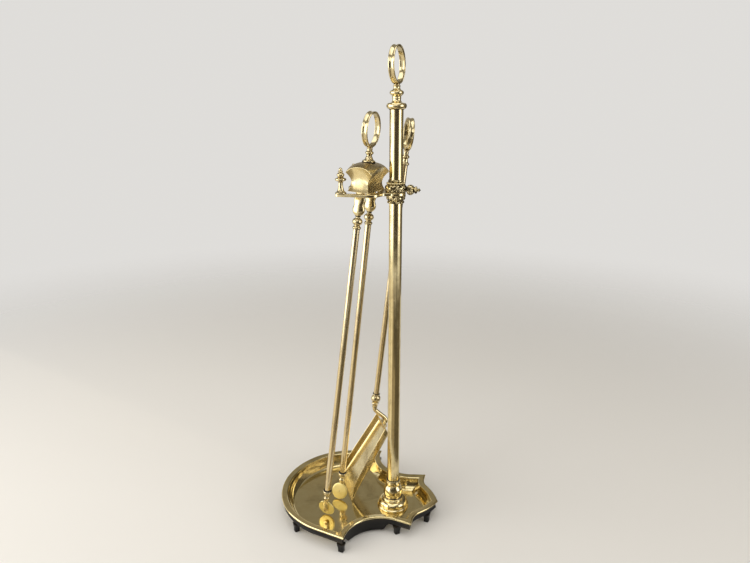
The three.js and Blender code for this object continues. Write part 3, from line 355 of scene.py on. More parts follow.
def circle(radius, up, count):
    angles = [2 * pi * i / count for i in range(count)]
    return [Vector((radius * cos(a), radius * sin(a), up)) for a in angles]


# cross section between a round and a box, in a plane of constant height
def roundedRing(halfX, halfY, up, squareness, count, middleY=0):
    ring = []
    for spoke in circle(1, up, count):
        reach = (abs(spoke.x) ** squareness + abs(spoke.y) ** squareness) ** (-1 / squareness)
        ring.append(Vector((halfX * spoke.x * reach, middleY + halfY * spoke.y * reach, up)))
    return ring


def ovalRing(middle, wide, thick, halfWide, halfThick):
    return [middle + wide * halfWide * spoke.x + thick * halfThick * spoke.y for spoke in circle(1, 0, 40)]


# faces between neighbouring rings; a ring of one point closes to a tip
def loft(rings, capStart=True, capEnd=True, closed=False, around=True):
    mesh = bmesh.new()
    rows = [[mesh.verts.new(point) for point in ring] for ring in rings]
    for low, high in zip(rows, rows[1:] + rows[:1] if closed else rows[1:]):
        count = max(len(low), len(high))
        for i in range(count if around else count - 1):
            j = (i + 1) % count
            addFace(mesh, [low[i % len(low)], low[j % len(low)], high[j % len(high)], high[i % len(high)]])
    if capStart and not closed:
        addFace(mesh, rows[0][::-1])
    if capEnd and not closed:
        addFace(mesh, rows[-1])
    return mesh


def addFace(mesh, corners):
    face = list(dict.fromkeys(corners))
    if len(face) > 2:
        mesh.faces.new(face)


def lathe(points, sides, closed):
    rings = [[Vector((0, 0, p.y))] if p.x < onAxis else circle(p.x, p.y, sides) for p in points]
    return loft(rings, closed=closed)


def newObject(name, data):
    thing = bpy.data.objects.new(name, data)
    bpy.context.scene.collection.objects.link(thing)
    return thing


def meshData(name, mesh, material):
    data = bpy.data.meshes.new(name)
    mesh.to_mesh(data)
    mesh.free()
    data.transform(Matrix.Scale(mm, 4))
    data.materials.append(material)
    return data


def addPiece(name, mesh, place, body, nodes, material=turnedBrass, sharp=38, bevel=0):
    bmesh.ops.recalc_face_normals(mesh, faces=mesh.faces)
    data = meshData(name, mesh, material)
    data.polygons.foreach_set("use_smooth", [True] * len(data.polygons))
    data.set_sharp_from_angle(angle=radians(sharp))
    piece = newObject(name, data)
    piece.matrix_world = place
    if bevel:
        edges = piece.modifiers.new("eased_edges", "BEVEL")
        edges.width = bevel * mm
        edges.segments = 3
        edges.limit_method = "ANGLE"
        edges.angle_limit = radians(35)
    level = piece.modifiers.new("flat_stays_flat", "WEIGHTED_NORMAL")
    level.keep_sharp = True
    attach(piece, body)
    if nodes:
        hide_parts(*nodes)


def addTurned(name, profile, place, body, nodes, material=turnedBrass, ease=0.5, closed=False, sides=96):
    addPiece(name, lathe(profile.eased(ease, closed), sides, closed), place, body, nodes, material)


# the black line where two turned pieces meet: painted shade of the gap between them, with crumbs of dried
# polish
def addSeam(name, radius, up, place, body, proud=0.8, tall=1.0):
    inner, outer = radius - 0.5, radius + proud
    low, high = up - tall / 2, up + tall / 2
    line = Profile(inner, low).to(outer, low).to(outer, high).to(inner, high)
    addTurned(name, line, place, body, [], gapShadeAndPolish, ease=0.3, closed=True, sides=64)


def addNut(name, width, bottom, top, place, body, nodes):
    corner = width / 2 / cos(pi / 6)
    chamfer = 0.4
    rings = [circle(corner - chamfer, bottom, 6), circle(corner, bottom + chamfer, 6),
             circle(corner, top - chamfer, 6), circle(corner - chamfer, top, 6)]
    addPiece(name, loft(rings), place, body, nodes, steel)


# tray: dished sheet brass over a black iron apron on eight feet

tubeLow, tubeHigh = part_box("lower_tube")
columnX = (tubeLow.x + tubeHigh.x) / 2 / mm
standAt = at(columnX, 0, 0)

outlineShape = {
    "lobeCentre": -72, "lobeRadius": 114, "lobeSweep": 77.3, "lobeSteps": 56,
    "hollowX": 7, "hollowY": 116, "hollowRadius": 55, "hollowRun": 11.5, "hollowSteps": 40,
    "coveX": 68, "coveY": 54, "coveRadius": 25, "coveTangent": 45, "coveSteps": 12,
    "noseX": 74, "noseSteps": 20, "cornerGap": 0.6, "hangFrom": 0.1, "hangTo": 0.88, "hangEase": 0.1,
}


# half the tray's outline, drawn a distance inside its edge; each point says how low the apron hangs
def halfOutline(inset):
    shape = outlineShape
    centre, radius, sweep = (shape["lobeCentre"], 0), shape["lobeRadius"] - inset, shape["lobeSweep"]
    lobe = arcPoints(centre, radius, 180, 180 + sweep, shape["lobeSteps"])
    points = [(x, y, 0) for x, y in lobe]
    run, tangent = radians(shape["hollowRun"]), radians(shape["coveTangent"])
    hollow = (shape["hollowX"], -shape["hollowY"], shape["hollowRadius"] + inset)
    goRound(points, -1 / tan(radians(sweep)), hollow, pi / 2 - run, shape["hollowSteps"], True)
    cove = (shape["coveX"], -shape["coveY"], shape["coveRadius"] + inset)
    goRound(points, -tan(run), cove, pi - tangent, shape["coveSteps"], False)
    inward = Vector((-sin(tangent), cos(tangent)))
    start = Vector((shape["coveX"], -shape["coveY"])) + inward * shape["coveRadius"]
    reach = Vector((shape["noseX"], 0)) - start
    radius = reach.length_squared / (2 * reach.dot(inward))
    centre = start + inward * radius
    radius -= inset
    first, last = shape["coveTangent"] - 90, degrees(asin(-centre.y / radius))
    nose = arcPoints(centre, radius, first, last, shape["noseSteps"])
    return points + [(x, y, 0) for x, y in nose[1:]]


# on along a straight line to a hollow circle, then round it
def goRound(points, slope, circleShape, endAngle, steps, hangsLow):
    centre = Vector(circleShape[:2])
    radius = circleShape[2]
    start = Vector(points[-1][:2])
    corner = Vector((centre.x - radius, start.y + (centre.x - radius - start.x) * slope))
    startAngle = pi
    if corner.y > centre.y:
        along = Vector((1, slope)).normalized()
        nearest = (centre - start).dot(along)
        half = sqrt(radius ** 2 - (centre - start).length_squared + nearest ** 2)
        corner = start + along * (nearest - half)
        startAngle = atan2(corner.y - centre.y, corner.x - centre.x) - radians(outlineShape["cornerGap"])
    points.append((corner.x, corner.y, 0))
    for step in range(steps + 1):
        share = step / steps
        angle = startAngle + (endAngle - startAngle) * share
        low = min(share - outlineShape["hangFrom"], outlineShape["hangTo"] - share) / outlineShape["hangEase"]
        low = min(max(low, 0), 1) if hangsLow else 0
        x, y = centre.x + radius * cos(angle), centre.y + radius * sin(angle)
        points.append((x, y, low * low * (3 - 2 * low)))


def outline(inset):
    half = halfOutline(inset)
    return half + [(x, -y, low) for x, y, low in half[-2:0:-1]]


trayShape = {"floor": 8, "rim": 28, "sheet": 1.2, "wallFoot": 21.5}


# the section runs inwards from the outline: rolled edge, sloping rim, wall and floor, then back below
def buildTray():
    floor, wallFoot = trayShape["floor"], trayShape["wallFoot"]
    top = Profile(0.35, 25.1).to(0.01, 25.6).arc(2.2, trayShape["rim"], -0.66, 9).to(7.6, 26.9)
    top.arc(10.6, 24.4, -0.75, 8).arc(17.2, 10.6, 1.2, 12).arc(wallFoot, floor, 0.4, 8)
    under = Profile(wallFoot, floor - trayShape["sheet"]).arc(16.4, 9.7, -0.5, 8).arc(9.4, 24, -1.25, 10)
    under.arc(7.6, 25.7, 0.35, 5).to(1.7, 26.5).to(1.2, 26.1).to(1.0, 25.1)
    rings = [[Vector((x, y, p.y)) for x, y, low in outline(p.x)] for p in under.points + top.points]
    addPiece("tray", loft(rings), standAt, "stand", ["tray"], trayBrass, sharp=30)


apronShape = {
    "outer": 3, "inner": 7.5, "lobeFoot": 14, "hollowFoot": 3, "outerTop": 26, "innerTop": 25.2,
    "footBead": [(0.8, 0), (-0.1, 0.25), (-0.5, 1.2), (-0.5, 2.2), (0, 3), (0.3, 3.6)],
}


def buildApron():
    shape = apronShape
    outer, inner = shape["outer"], shape["inner"]
    fall = shape["hollowFoot"] - shape["lobeFoot"]

    def overFoot(inset, up):
        return [Vector((x, y, shape["lobeFoot"] + fall * low + up)) for x, y, low in outline(inset)]

    rings = [overFoot(outer + step, up) for step, up in shape["footBead"]]
    for inset, up in ((outer + 0.3, shape["outerTop"]), (inner, shape["innerTop"])):
        rings.append([Vector((x, y, up)) for x, y, low in outline(inset)])
    rings.append(overFoot(inner, 0.3))
    addPiece("apron", loft(rings, closed=True), standAt, "stand", ["base_frame"], blackIron, sharp=45)


# half widths across and along, and height, from the sole up
footShape = {
    "count": 8, "squareness": 5, "facePoint": -30,
    "sections": [(3.9, 3.5, 0), (4.3, 3.9, 0.4), (4.3, 4.0, 1.6), (4.2, 3.9, 2.6), (4.4, 4.0, 5.5),
                 (4.8, 4.3, 8.2), (5.4, 4.6, 10.8), (6.0, 4.9, 12.8), (6.1, 5.0, 13.7)],
}


def buildFeet():
    shape = footShape
    for number in range(1, shape["count"] + 1):
        node = f"foot_{number}"
        low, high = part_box(node)
        middle = (low + high) / 2
        facing = degrees(atan2(middle.y, middle.x - (columnX + shape["facePoint"]) * mm))
        place = Matrix.Translation((middle.x, middle.y, 0)) @ turn(facing + 90, "Z")
        rings = [roundedRing(*section, shape["squareness"], 40) for section in shape["sections"]]
        addPiece(node + "_bracket", loft(rings), place, "stand", [node], blackIron, sharp=50)


buildTray()
buildApron()
buildFeet()
print("tray: dish, apron and feet")


# column: turned foot, two tubes, hub, bracket and cap, held by a hidden tie rod

# radii, except the rod's top and the nut's width
columnShape = {"tube": 9.5, "fit": 0.2, "foot": 25, "rod": 2.8, "rodTop": 40, "plate": 22, "nut": 10}
hubShape = {"eye": 14, "drop": 11, "beads": 26, "beadCircle": 12.1, "beadRadius": 1.35, "beadsUp": 13.1}
tube = columnShape["tube"]
seat = tube + columnShape["fit"]
bracketLow, bracketHigh = (corner.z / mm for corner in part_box("tool_bracket"))


def buildColumn():
    base, floor = columnShape["foot"], trayShape["floor"]
    foot = Profile(0, 0).to(base - 1, 0).arc(base - 0.9, 3.4, 1, 8).to(base - 2, 4.2)
    foot.arc(base - 9, 13.4, 2.8, 16).to(base - 9.8, 14.2).arc(base - 9.6, 16.6, 0.9, 8)
    foot.to(base - 11.4, 17.4).to(base - 11.4, 18.6).arc(base - 13.6, 38, 2.9, 20)
    foot.arc(base - 14, 43, -0.3).to(base - 14.4, 44).arc(tube + 1.6, 46, 0.6, 6)
    foot.to(tube + 1.2, 48).to(seat, 48).to(seat, 43).to(0, 43)
    addTurned("column_foot_turning", foot.raised(floor), standAt, "stand", ["column_foot"])
    addSeam("foot_groove", base - 11.6, floor + 18, standAt, "stand", 0.5, 1.3)
    addSeam("foot_mouth", tube, floor + 48.2, standAt, "stand", 1.0)
    for node in ("lower_tube", "upper_tube"):
        low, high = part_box(node)
        skin = rod(tube, low.z / mm, high.z / mm)
        addTurned(node + "_skin", skin, standAt, "stand", [node], ease=0.3)


def buildHub():
    shape = hubShape
    eye, drop = shape["eye"], shape["drop"]
    bowl = Profile(0, 5).to(seat, 5).to(seat, 0).to(seat + 1.4, 0).arc(seat + 1.4, 3, 1.2)
    bowl.to(seat + 0.7, 4).arc(eye - 0.6, 8.6, 1.4).to(eye, 9.4).to(eye, drop).to(0, drop)
    bowl.raised(bracketLow - drop)
    addTurned("hub_bowl", bowl, standAt, "stand", ["hub_seat"], chasedBrass, ease=0.35)
    drum = Profile(0, 0).to(eye - 0.4, 0).arc(eye + 1.2, 4.4, 0.8, 6).arc(eye - 0.6, 10.6, 1.2)
    drum.to(11.4, 11.4).to(11.4, 12.4).arc(11.4, 13.8, 0.5, 6).to(seat + 0.5, 14.4)
    drum.arc(seat + 0.5, 18, 0.7).to(seat, 18).to(seat, 14).to(0, 14).raised(bracketHigh)
    addTurned("hub_drum", drum, standAt, "stand", ["hub_cap"], chasedBrass, ease=0.35)
    beads = bmesh.new()
    for centre in circle(shape["beadCircle"], bracketHigh + shape["beadsUp"], shape["beads"]):
        bmesh.ops.create_uvsphere(beads, u_segments=16, v_segments=10, radius=shape["beadRadius"],
                                  matrix=Matrix.Translation(centre))
    addPiece("hub_beading", beads, standAt, "stand", [])


def buildCap():
    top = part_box("upper_tube")[1].z / mm
    cap = Profile(0, -8).to(8, -8).to(8, 0).to(11.6, 0).arc(12.2, 7.4, 2)
    cap.to(9.4, 8.2).arc(6.2, 14, -1.8).arc(6.6, 17, -0.4, 6).to(8, 18.2).arc(8, 23.8, 1.6)
    cap.to(6, 24.8).arc(4.8, 29, -0.7).to(5.4, 30.3).to(0, 30.3)
    addTurned("column_cap_turning", cap.raised(top), standAt, "stand", ["column_cap"], ease=0.35)
    addSeam("cap_seam", tube, top - 0.4, standAt, "stand", 1.2)


# what clamps the column together below the tray
def buildFixing():
    shape = columnShape
    shank = rod(shape["rod"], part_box("tie_rod")[0].z / mm, shape["rodTop"])
    addTurned("tie_rod_end", shank, standAt, "stand", ["tie_rod"], steel, ease=0.3, sides=48)
    edge, bore = shape["plate"], shape["rod"] + 0.5
    plate = Profile(bore, 4.4).to(edge - 0.4, 4.4).to(edge, 4.8).to(edge, 6.4).to(edge - 0.4, 6.7)
    plate.to(bore, 6.7)
    addTurned("base_washer", plate, standAt, "stand", ["base_plate"], blackIron, ease=0.3, closed=True)
    addNut("base_hexagon_nut", shape["nut"], 1.8, 4.35, standAt, "stand", ["base_nut"])


ringShape = {"deep": 3, "proud": 0.12, "bead": 3.5, "groove": 0.5, "grooveHalf": 2.2, "lift": 1.6}


# grooved band ring on a short turned seat; its hole looks along the placement's X
def addHandleRing(name, radius, place, body, node):
    shape = ringShape
    inner, outer, groove = radius - shape["deep"], radius - shape["proud"], radius - shape["groove"]
    bead, half = shape["bead"], shape["grooveHalf"]
    band = Profile(inner, -3.2).arc(radius - 1.1, -4.5, -0.5, 8).arc(outer, -bead, 0.3, 4)
    band.arc(groove, -half, 0.2, 5).arc(groove, half, -0.3, 12).arc(outer, bead, 0.2, 5)
    band.arc(radius - 1.1, 4.5, 0.3, 4).arc(inner, 3.2, -0.5, 8).arc(inner, -3.2, -0.25)
    band.points.pop()
    standing = place @ at(0, 0, radius + shape["lift"]) @ turn(90, "Y")
    addTurned(name + "_band", band, standing, body, [node], ringBrass, ease=0.15, closed=True, sides=144)
    stud = Profile(0, -6).to(1.9, -6).to(1.9, 0.1).to(4, 0.1).arc(4, 1.6, 0.5, 6)
    stud.arc(2.9, 3.2, -0.4, 6).to(0, 3.2)
    addTurned(name + "_seat", stud, place, body, [], agedBrass, ease=0.25, sides=64)


bracketShape = {
    "eye": 14, "bore": 7.8, "armLeft": -5, "armRight": 4, "crook": (-0.5, 53.8), "crookOuter": 13.5,
    "crookInner": 8.5, "mouthFrom": 99.4, "mouthTo": 200.6, "slotEnd": 26, "slotCorner": 8, "slotHalf": 28.2,
    "prong": 9, "reach": 79, "bevel": 0.7,
}


# the flat casting's edge: round the eye, out round the crook and back, then the fork's two prongs
def bracketPath():
    shape = bracketShape
    eye, arm, crook, prong = shape["eye"], shape["armRight"], shape["crook"], shape["prong"]
    outer, inner = shape["crookOuter"], shape["crookInner"]
    mouthFrom, mouthTo = shape["mouthFrom"], shape["mouthTo"]
    half = arm - crook[0]
    meet = degrees(atan2(-sqrt(outer ** 2 - half ** 2), half))

    def tipArc(first, last, mouth):
        centre = arcPoints(crook, (outer + inner) / 2, mouth, mouth, 1)[0]
        return arcPoints(centre, (outer - inner) / 2, first, last, 12)[1:-1]

    path = arcPoints((0, 0), eye, -105, degrees(atan2(sqrt(eye ** 2 - arm ** 2), arm)), 36)
    path += arcPoints(crook, outer, meet, mouthFrom, 36)
    path += tipArc(mouthFrom, mouthFrom + 180, mouthFrom)
    path += arcPoints(crook, inner, mouthFrom, mouthTo - 360, 48)
    path += tipArc(mouthTo - 180, mouthTo, mouthTo)
    path += arcPoints(crook, outer, mouthTo - 360, -180 - meet, 12)
    back, edge = shape["slotEnd"] - prong, shape["slotHalf"] + prong
    side = bentPoints((shape["armLeft"], 14.2), (-15.5, 13), (-back, edge - 14))
    side += bentPoints((-back, edge - 14), (-back - 2, edge), (-back - 16, edge), 14)[1:]
    side += arcPoints((-shape["reach"] + prong / 2, edge - prong / 2), prong / 2, 90, 270, 16)
    corner = (-shape["slotEnd"] - shape["slotCorner"], shape["slotHalf"] - shape["slotCorner"])
    side += arcPoints(corner, shape["slotCorner"], 90, 0, 12)
    return path + side + [Vector((x, -y)) for x, y in reversed(side[1:])] + [Vector((-4, -13.4))]


def buildBracket():
    bevel = bracketShape["bevel"]
    curve = bpy.data.curves.new("bracket_outline", "CURVE")
    curve.dimensions = "2D"
    curve.fill_mode = "BOTH"
    curve.extrude = (bracketHigh - bracketLow) / 2 - bevel
    curve.bevel_depth = bevel
    curve.bevel_resolution = 3
    curve.offset = -bevel
    for ring in (bracketPath(), arcPoints((0, 0), bracketShape["bore"], 0, 350, 35)):
        spline = curve.splines.new("POLY")
        spline.points.add(len(ring) - 1)
        for point, (x, y) in zip(spline.points, ring):
            point.co = (x, y, 0, 1)
        spline.use_cyclic_u = True
    drawn = newObject("bracket_outline", curve)
    bpy.context.view_layer.update()
    cast = bpy.data.meshes.new_from_object(drawn.evaluated_get(bpy.context.evaluated_depsgraph_get()))
    bpy.data.objects.remove(drawn)
    mesh = bmesh.new()
    mesh.from_mesh(cast)
    bmesh.ops.remove_doubles(mesh, verts=mesh.verts, dist=0.001)
    bmesh.ops.translate(mesh, verts=mesh.verts, vec=(0, 0, (bracketLow + bracketHigh) / 2))
    addPiece("bracket_casting", mesh, standAt, "stand", ["tool_bracket"], sharp=30)


def buildFinials():
    finial = Profile(0, 0).to(7.2, 0).arc(7.6, 2, 0.4, 5).arc(4.4, 5.5, -0.6, 8).arc(3.2, 15.5, -0.5)
    finial.to(4.2, 17).to(6.8, 18).arc(7.4, 21, 0.7, 8).to(4.4, 22.4).to(3.6, 23.2)
    finial.arc(3.8, 28.4, 1.6).to(2.6, 29).arc(3.1, 31, 0.7, 6).to(2.4, 31.6).arc(0, 36, 1.2, 8)
    finial.raised(bracketHigh)
    for node in ("fork_finial_1", "fork_finial_2"):
        low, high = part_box(node)
        place = at((low.x + high.x) / 2 / mm, (low.y + high.y) / 2 / mm, 0)
        addTurned(node + "_turning", finial, place, "stand", [node], agedBrass, ease=0.3, sides=72)
        addSeam(node + "_seam", 7.2, bracketHigh + 0.4, place, "stand", 0.6, 0.8)


screwShape = {"shank": 2.4, "start": 13, "shoulder": 16.2, "tip": 36}


def buildClampScrew():
    shank, start, shoulder = screwShape["shank"], screwShape["start"], screwShape["shoulder"]
    place = Matrix.Translation(joints["clamp_screw_turn"]["pos_m"]) @ turn(90, "Y")
    screw = Profile(0, start).to(shank, start).to(shank, shoulder).to(5, shoulder)
    screw.arc(4.6, shoulder + 9.6, 2.6, 20).to(3.6, shoulder + 10.2).to(4.4, shoulder + 11)
    screw.arc(4.2, shoulder + 14, 0.8, 8).to(1.9, shoulder + 14.8).to(1.9, shoulder + 16)
    screw.to(3.2, shoulder + 17).arc(0, screwShape["tip"], -0.3, 6)
    addTurned("clamp_screw_turning", screw, place, "clamp_screw", ["clamp_screw"], chasedBrass, ease=0.25,
              sides=72)


buildColumn()
buildHub()
buildCap()
buildFixing()
buildBracket()
buildFinials()
buildClampScrew()
carryRing = {"radius": 25.2, "above": 30.5, "turn": -6.5}
carryAt = standAt @ at(0, 0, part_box("upper_tube")[1].z / mm + carryRing["above"])
carryAt = carryAt @ turn(carryRing["turn"], "Z")
addHandleRing("carry_ring", carryRing["radius"], carryAt, "stand", "carry_ring")
print("column: foot, tubes, hub, bracket, cap and ring")


# tongs: hollow head with two hinged legs, placed by their joints

headShape = {
    "bottomX": 32, "bottomY": 62, "topX": 40, "topY": 66, "waist": 5.3, "corner": 25.5, "edgeFall": 5,
    "cornerFall": 4, "crownPower": 2.5, "pinHeight": 9, "pinHalf": 20, "roof": 20.5, "pocketX": 8.7,
    "pocketY": 23.7, "flare": 3, "perSide": 26, "levels": 24, "ringRadius": 24.5,
}
legShape = {
    "skew": 4.3, "splay": 0.9, "length": 512.5, "radius": 4.75, "collarTop": -43.3, "toe": 33, "disc": 13.5,
    "tilt": 15, "inset": 4,
}

pinMiddle = (Vector(joints["near_leg_swing"]["pos_m"]) + Vector(joints["far_leg_swing"]["pos_m"])) / 2
headUp = Vector(joints["tongs_lift"]["axis"]).normalized()
headOut = Vector(joints["near_leg_swing"]["axis"]).normalized()
headTurn = Matrix((headOut, headUp.cross(headOut), headUp)).transposed().to_4x4()
headAt = Matrix.Translation(pinMiddle - headUp * headShape["pinHeight"] * mm) @ headTurn
headHeight = headShape["corner"] + 2 * headShape["edgeFall"] + headShape["cornerFall"]


def crown(x, y):  # height of the head's domed top
    shareX = abs(2 * x / headShape["topX"]) ** headShape["crownPower"]
    shareY = abs(2 * y / headShape["topY"]) ** headShape["crownPower"]
    return headHeight - headShape["edgeFall"] * (shareX + shareY) - headShape["cornerFall"] * shareX * shareY


# from the pocket's roof down to its mouth, up the waisted sides and in over the crown
def buildTongsHead():
    shape = headShape
    perSide, roof = shape["perSide"], shape["roof"]
    square = []
    for side in range(4):
        quarter = Matrix.Rotation(side * pi / 2, 2)
        square += [quarter @ Vector((-1 + 2 * step / perSide, -1)) for step in range(perSide)]
    rings = [[Vector((0, 0, roof))]]
    for flare, up in ((0, roof), (0, headHeight / 2), (shape["flare"], 0)):
        pocketX, pocketY = shape["pocketX"] + flare, shape["pocketY"] + flare
        rings.append([Vector((x * pocketX, y * pocketY, up)) for x, y in square])
    topX, topY = shape["topX"] / 2, shape["topY"] / 2
    for step in range(shape["levels"] + 1):
        t = step / shape["levels"]
        drawnIn = shape["waist"] * 4 * t * (1 - t)
        halfX = shape["bottomX"] / 2 * (1 - t) + topX * t - drawnIn
        halfY = shape["bottomY"] / 2 * (1 - t) + topY * t - drawnIn
        rings.append([Vector((x * halfX, y * halfY, crown(x * topX, y * topY) * t)) for x, y in square])
    for share in (0.94, 0.86, 0.76, 0.64, 0.5, 0.36, 0.22, 0.1):
        ring = [Vector((x * topX, y * topY)) * share for x, y in square]
        rings.append([Vector((x, y, crown(x, y))) for x, y in ring])
    rings.append([Vector((0, 0, headHeight))])
    addPiece("tongs_head_casting", loft(rings), headAt, "tongs_head", ["tongs_head"], headBrass, sharp=40,
             bevel=0.5)

    base = headHeight + 0.3
    stem = Profile(0, -2).to(5, -2).to(8.6, 0).arc(9, 2, 0.4, 5).arc(5, 6.5, -1, 8).to(3.9, 8).to(3.9, 10)
    stem.to(5, 11).arc(5, 14.4, 0.9).to(3.8, 15.4).to(4.2, 18.3).to(0, 18.3).raised(base)
    addTurned("tongs_stem_turning", stem, headAt, "tongs_head", ["tongs_stem"], agedBrass, ease=0.35,
              sides=72)
    addSeam("stem_seam", 8.6, base - 0.3, headAt, "tongs_head", 1.1, 1.2)
    ringAt = headAt @ at(0, 0, base + 18.8)
    addHandleRing("tongs_ring", shape["ringRadius"], ringAt, "tongs_head", "tongs_ring")
    addNut("tongs_hexagon_nut", 9, 17.2, 20.2, headAt, "tongs_head", ["tongs_nut"])
    for number, side in ((1, -1), (2, 1)):
        place = headAt @ at(0, side * shape["pinHalf"], shape["pinHeight"]) @ turn(90, "Y")
        addTurned(f"leg_pin_{number}", rod(2, -11.7, 11.7), place, "tongs_head", [f"tongs_pin_{number}"],
                  steel, ease=0.3, sides=48)


# half widths across and through, height, and squareness, from the pin down
knuckleSections = [
    (0.9, 0.8, 5.5, 2.4), (3.6, 1.9, 4.6, 3), (5.6, 2.3, 2.6, 3.5), (6.4, 2.5, 0, 4), (6.5, 2.5, -6, 4.5),
    (6.5, 2.5, -13, 4), (7.0, 2.9, -16.5, 3.2), (8.2, 3.6, -20, 2.6), (7.9, 4.1, -23.5, 2.4),
    (7.1, 4.3, -26.5, 2.3), (7.6, 4.7, -29, 2.2), (8.9, 5.1, -32, 2.1), (9.3, 5.2, -35, 2),
    (8.6, 4.9, -38, 2), (6.8, 4.3, -40.6, 2), (4.8, 3.8, -42.3, 2), (3.8, 3.6, -43, 2),
]
# the flat tongue between toe and grip disc: half width, half thickness, height
tongueSections = [
    (2.4, 1.0, 17.2), (3.7, 1.25, 15.5), (4, 1.3, 10), (4, 1.3, -2), (3.6, 1.25, -3.6), (2.2, 1.1, -4.9),
]


def buildLeg(side, outwards):
    shape = legShape
    body = f"{side}_leg"
    radius, top = shape["radius"], shape["collarTop"]
    place = headAt @ at(0, outwards * headShape["pinHalf"], headShape["pinHeight"])
    place = place @ turn(outwards * shape["splay"] - shape["skew"], "X")
    if outwards < 0:
        place = place @ turn(180, "Z")

    knuckle = loft([roundedRing(*section, 56) for section in knuckleSections])
    addPiece(body + "_knuckle_forging", knuckle, place, body, [body + "_knuckle"], sharp=50)

    collar = Profile(0, -18).to(5.4, -18).arc(5.4, -15.4, 0.8, 6).to(4.2, -14).to(4.4, -12.6)
    collar.arc(3.8, -3, 3.2, 18).to(3.2, -1.6).to(3.8, 0).to(0, 0).raised(top)
    addTurned(body + "_collar_turning", collar, place, body, [body + "_collar"], agedBrass, ease=0.3,
              sides=72)
    addSeam(body + "_collar_seam", radius, top - 18.3, place, body, 0.7)
    addSeam(body + "_knuckle_seam", 3.5, top - 0.2, place, body, 0.6)

    toeTop = shape["toe"] - shape["length"]
    shaft = rod(radius, toeTop + 0.1, top - 18.2)
    addTurned(body + "_shaft_tube", shaft, place, body, [body + "_shaft"], shaftBrass, ease=0.2, sides=64)
    toe = Profile(0, -19).arc(4.6, -14.6, 1.6).arc(3.4, -11, 0.9, 6).arc(3.4, -8.6, -0.4, 6).to(5, -7.4)
    toe.arc(6.3, -3.4, 0.8, 8).arc(6.3, -0.8, 0.6, 6).to(5.2, 0).to(0, 0).raised(toeTop)
    addTurned(body + "_toe_turning", toe, place, body, [body + "_toe"], agedBrass, ease=0.3, sides=72)
    addSeam(body + "_toe_seam", radius, toeTop + 0.1, place, body, 1.5, 1.2)

    discAt = place @ at(0, -shape["inset"], -shape["length"]) @ turn(-shape["tilt"], "X")
    tongue = loft([roundedRing(*section, 3.5, 40, 3.1) for section in tongueSections])
    addPiece(body + "_tongue", tongue, discAt, body, [], sharp=45)
    edge = shape["disc"]
    disc = Profile(0, 1.5).to(edge - 1.2, 1.5).arc(edge - 1.2, -1.5, -1.2, 8).to(edge - 2.2, -1.5)
    disc.to(0, -1.45)
    flat = discAt @ turn(-90, "X")
    addTurned(body + "_grip", disc, flat, body, [side + "_grip_disc"], discBrass, ease=0.3)
    rivet = Profile(0, 5.7).arc(3.1, 4.4, 0.4, 6).to(1.5, 4.4).to(1.5, -1.2).to(2.9, -1.2)
    rivet.arc(0, -2.1, 0.3, 6)
    addTurned(body + "_rivet", rivet, flat, body, [side + "_disc_rivet"], rivetBrass, ease=0.2, sides=48)


buildTongsHead()
buildLeg("near", -1)
buildLeg("far", 1)
print("tongs: head, ring and two legs")


# shovel: pan, neck and shaft, placed by the pan's lip and the crook that holds the shaft

shovelShape = {
    "lip": (-84.9, 24.1, 8.3), "yaw": 29.2, "pitch": 58.6, "length": 126.3, "lipHalf": 37.8, "backHalf": 27.6,
    "backLean": 8, "wall": 12, "sheet": 1.6, "corner": 4, "rivets": 9, "sideSteps": 30, "cornerSteps": 10,
    "backSteps": 8, "knob": (-41.8, 52.2, 170), "crook": (-2.3, 53.8, 520.5), "pastCrook": 34.3,
    "shaftRadius": 4.75, "shaftFoot": 8, "socketDrop": 17, "socketBore": 3.8, "ringRadius": 23.2,
    "ringTurn": 18.7,
}
panAt = standAt @ at(*shovelShape["lip"]) @ turn(shovelShape["yaw"], "Z") @ turn(-shovelShape["pitch"], "Y")
backAngle = degrees(atan2(shovelShape["backLean"], shovelShape["wall"]))
backAt = panAt @ at(shovelShape["length"] + shovelShape["backLean"] / 2, 0, shovelShape["wall"] / 2)
backAt = backAt @ turn(backAngle, "Y")
shaftRun = Vector(shovelShape["crook"]) - Vector(shovelShape["knob"])
shaftLean = degrees(atan2(hypot(shaftRun.x, shaftRun.y), shaftRun.z))
handleAt = standAt @ at(*shovelShape["knob"]) @ turn(degrees(atan2(shaftRun.y, shaftRun.x)), "Z")
handleAt = handleAt @ turn(shaftLean, "Y")


# the pan's edge seen from above, from one lip corner round the back to the other
def panPath(inset):
    shape = shovelShape
    length = shape["length"] - inset
    slope = (shape["lipHalf"] - shape["backHalf"]) / shape["length"]
    halfLip = shape["lipHalf"] - inset
    halfBack = shape["backHalf"] - inset + slope * inset
    corner = max(shape["corner"] - inset, 1)
    straight, halfEnd = length - corner, halfBack + slope * corner
    shares = [step / shape["sideSteps"] for step in range(shape["sideSteps"] + 1)]
    path = [(straight * share, (halfLip - halfEnd) * share - halfLip) for share in shares]
    turnIn = halfBack - corner
    path += bentPoints((straight, -halfEnd), (length, -halfBack), (length, -turnIn), shape["cornerSteps"])[1:]
    path += [(length, -turnIn * (1 - step / shape["backSteps"])) for step in range(1, shape["backSteps"] + 1)]
    return path + [(x, -y) for x, y in path[-2::-1]]


# the pan's sheet in section: inset, height at the lip, height where the wall stands full
def panSection():
    sheet, wall = shovelShape["sheet"], shovelShape["wall"]
    return [(9, 0, 0), (4.0, 0, 0), (1.9, 0, 0.55), (0.55, 0.1, 1.9), (0, 0.4, 4), (0, 0.8, wall - 0.7),
            (0.25, 1.1, wall - 0.2), (0.8, 1.45, wall), (1.35, 1.5, wall - 0.2), (1.6, 1.55, wall - 0.7),
            (1.6, 1.6, 5), (2.2, 1.6, 3.2), (3.3, 1.6, 2.05), (4.8, sheet, sheet), (9, sheet, sheet)]


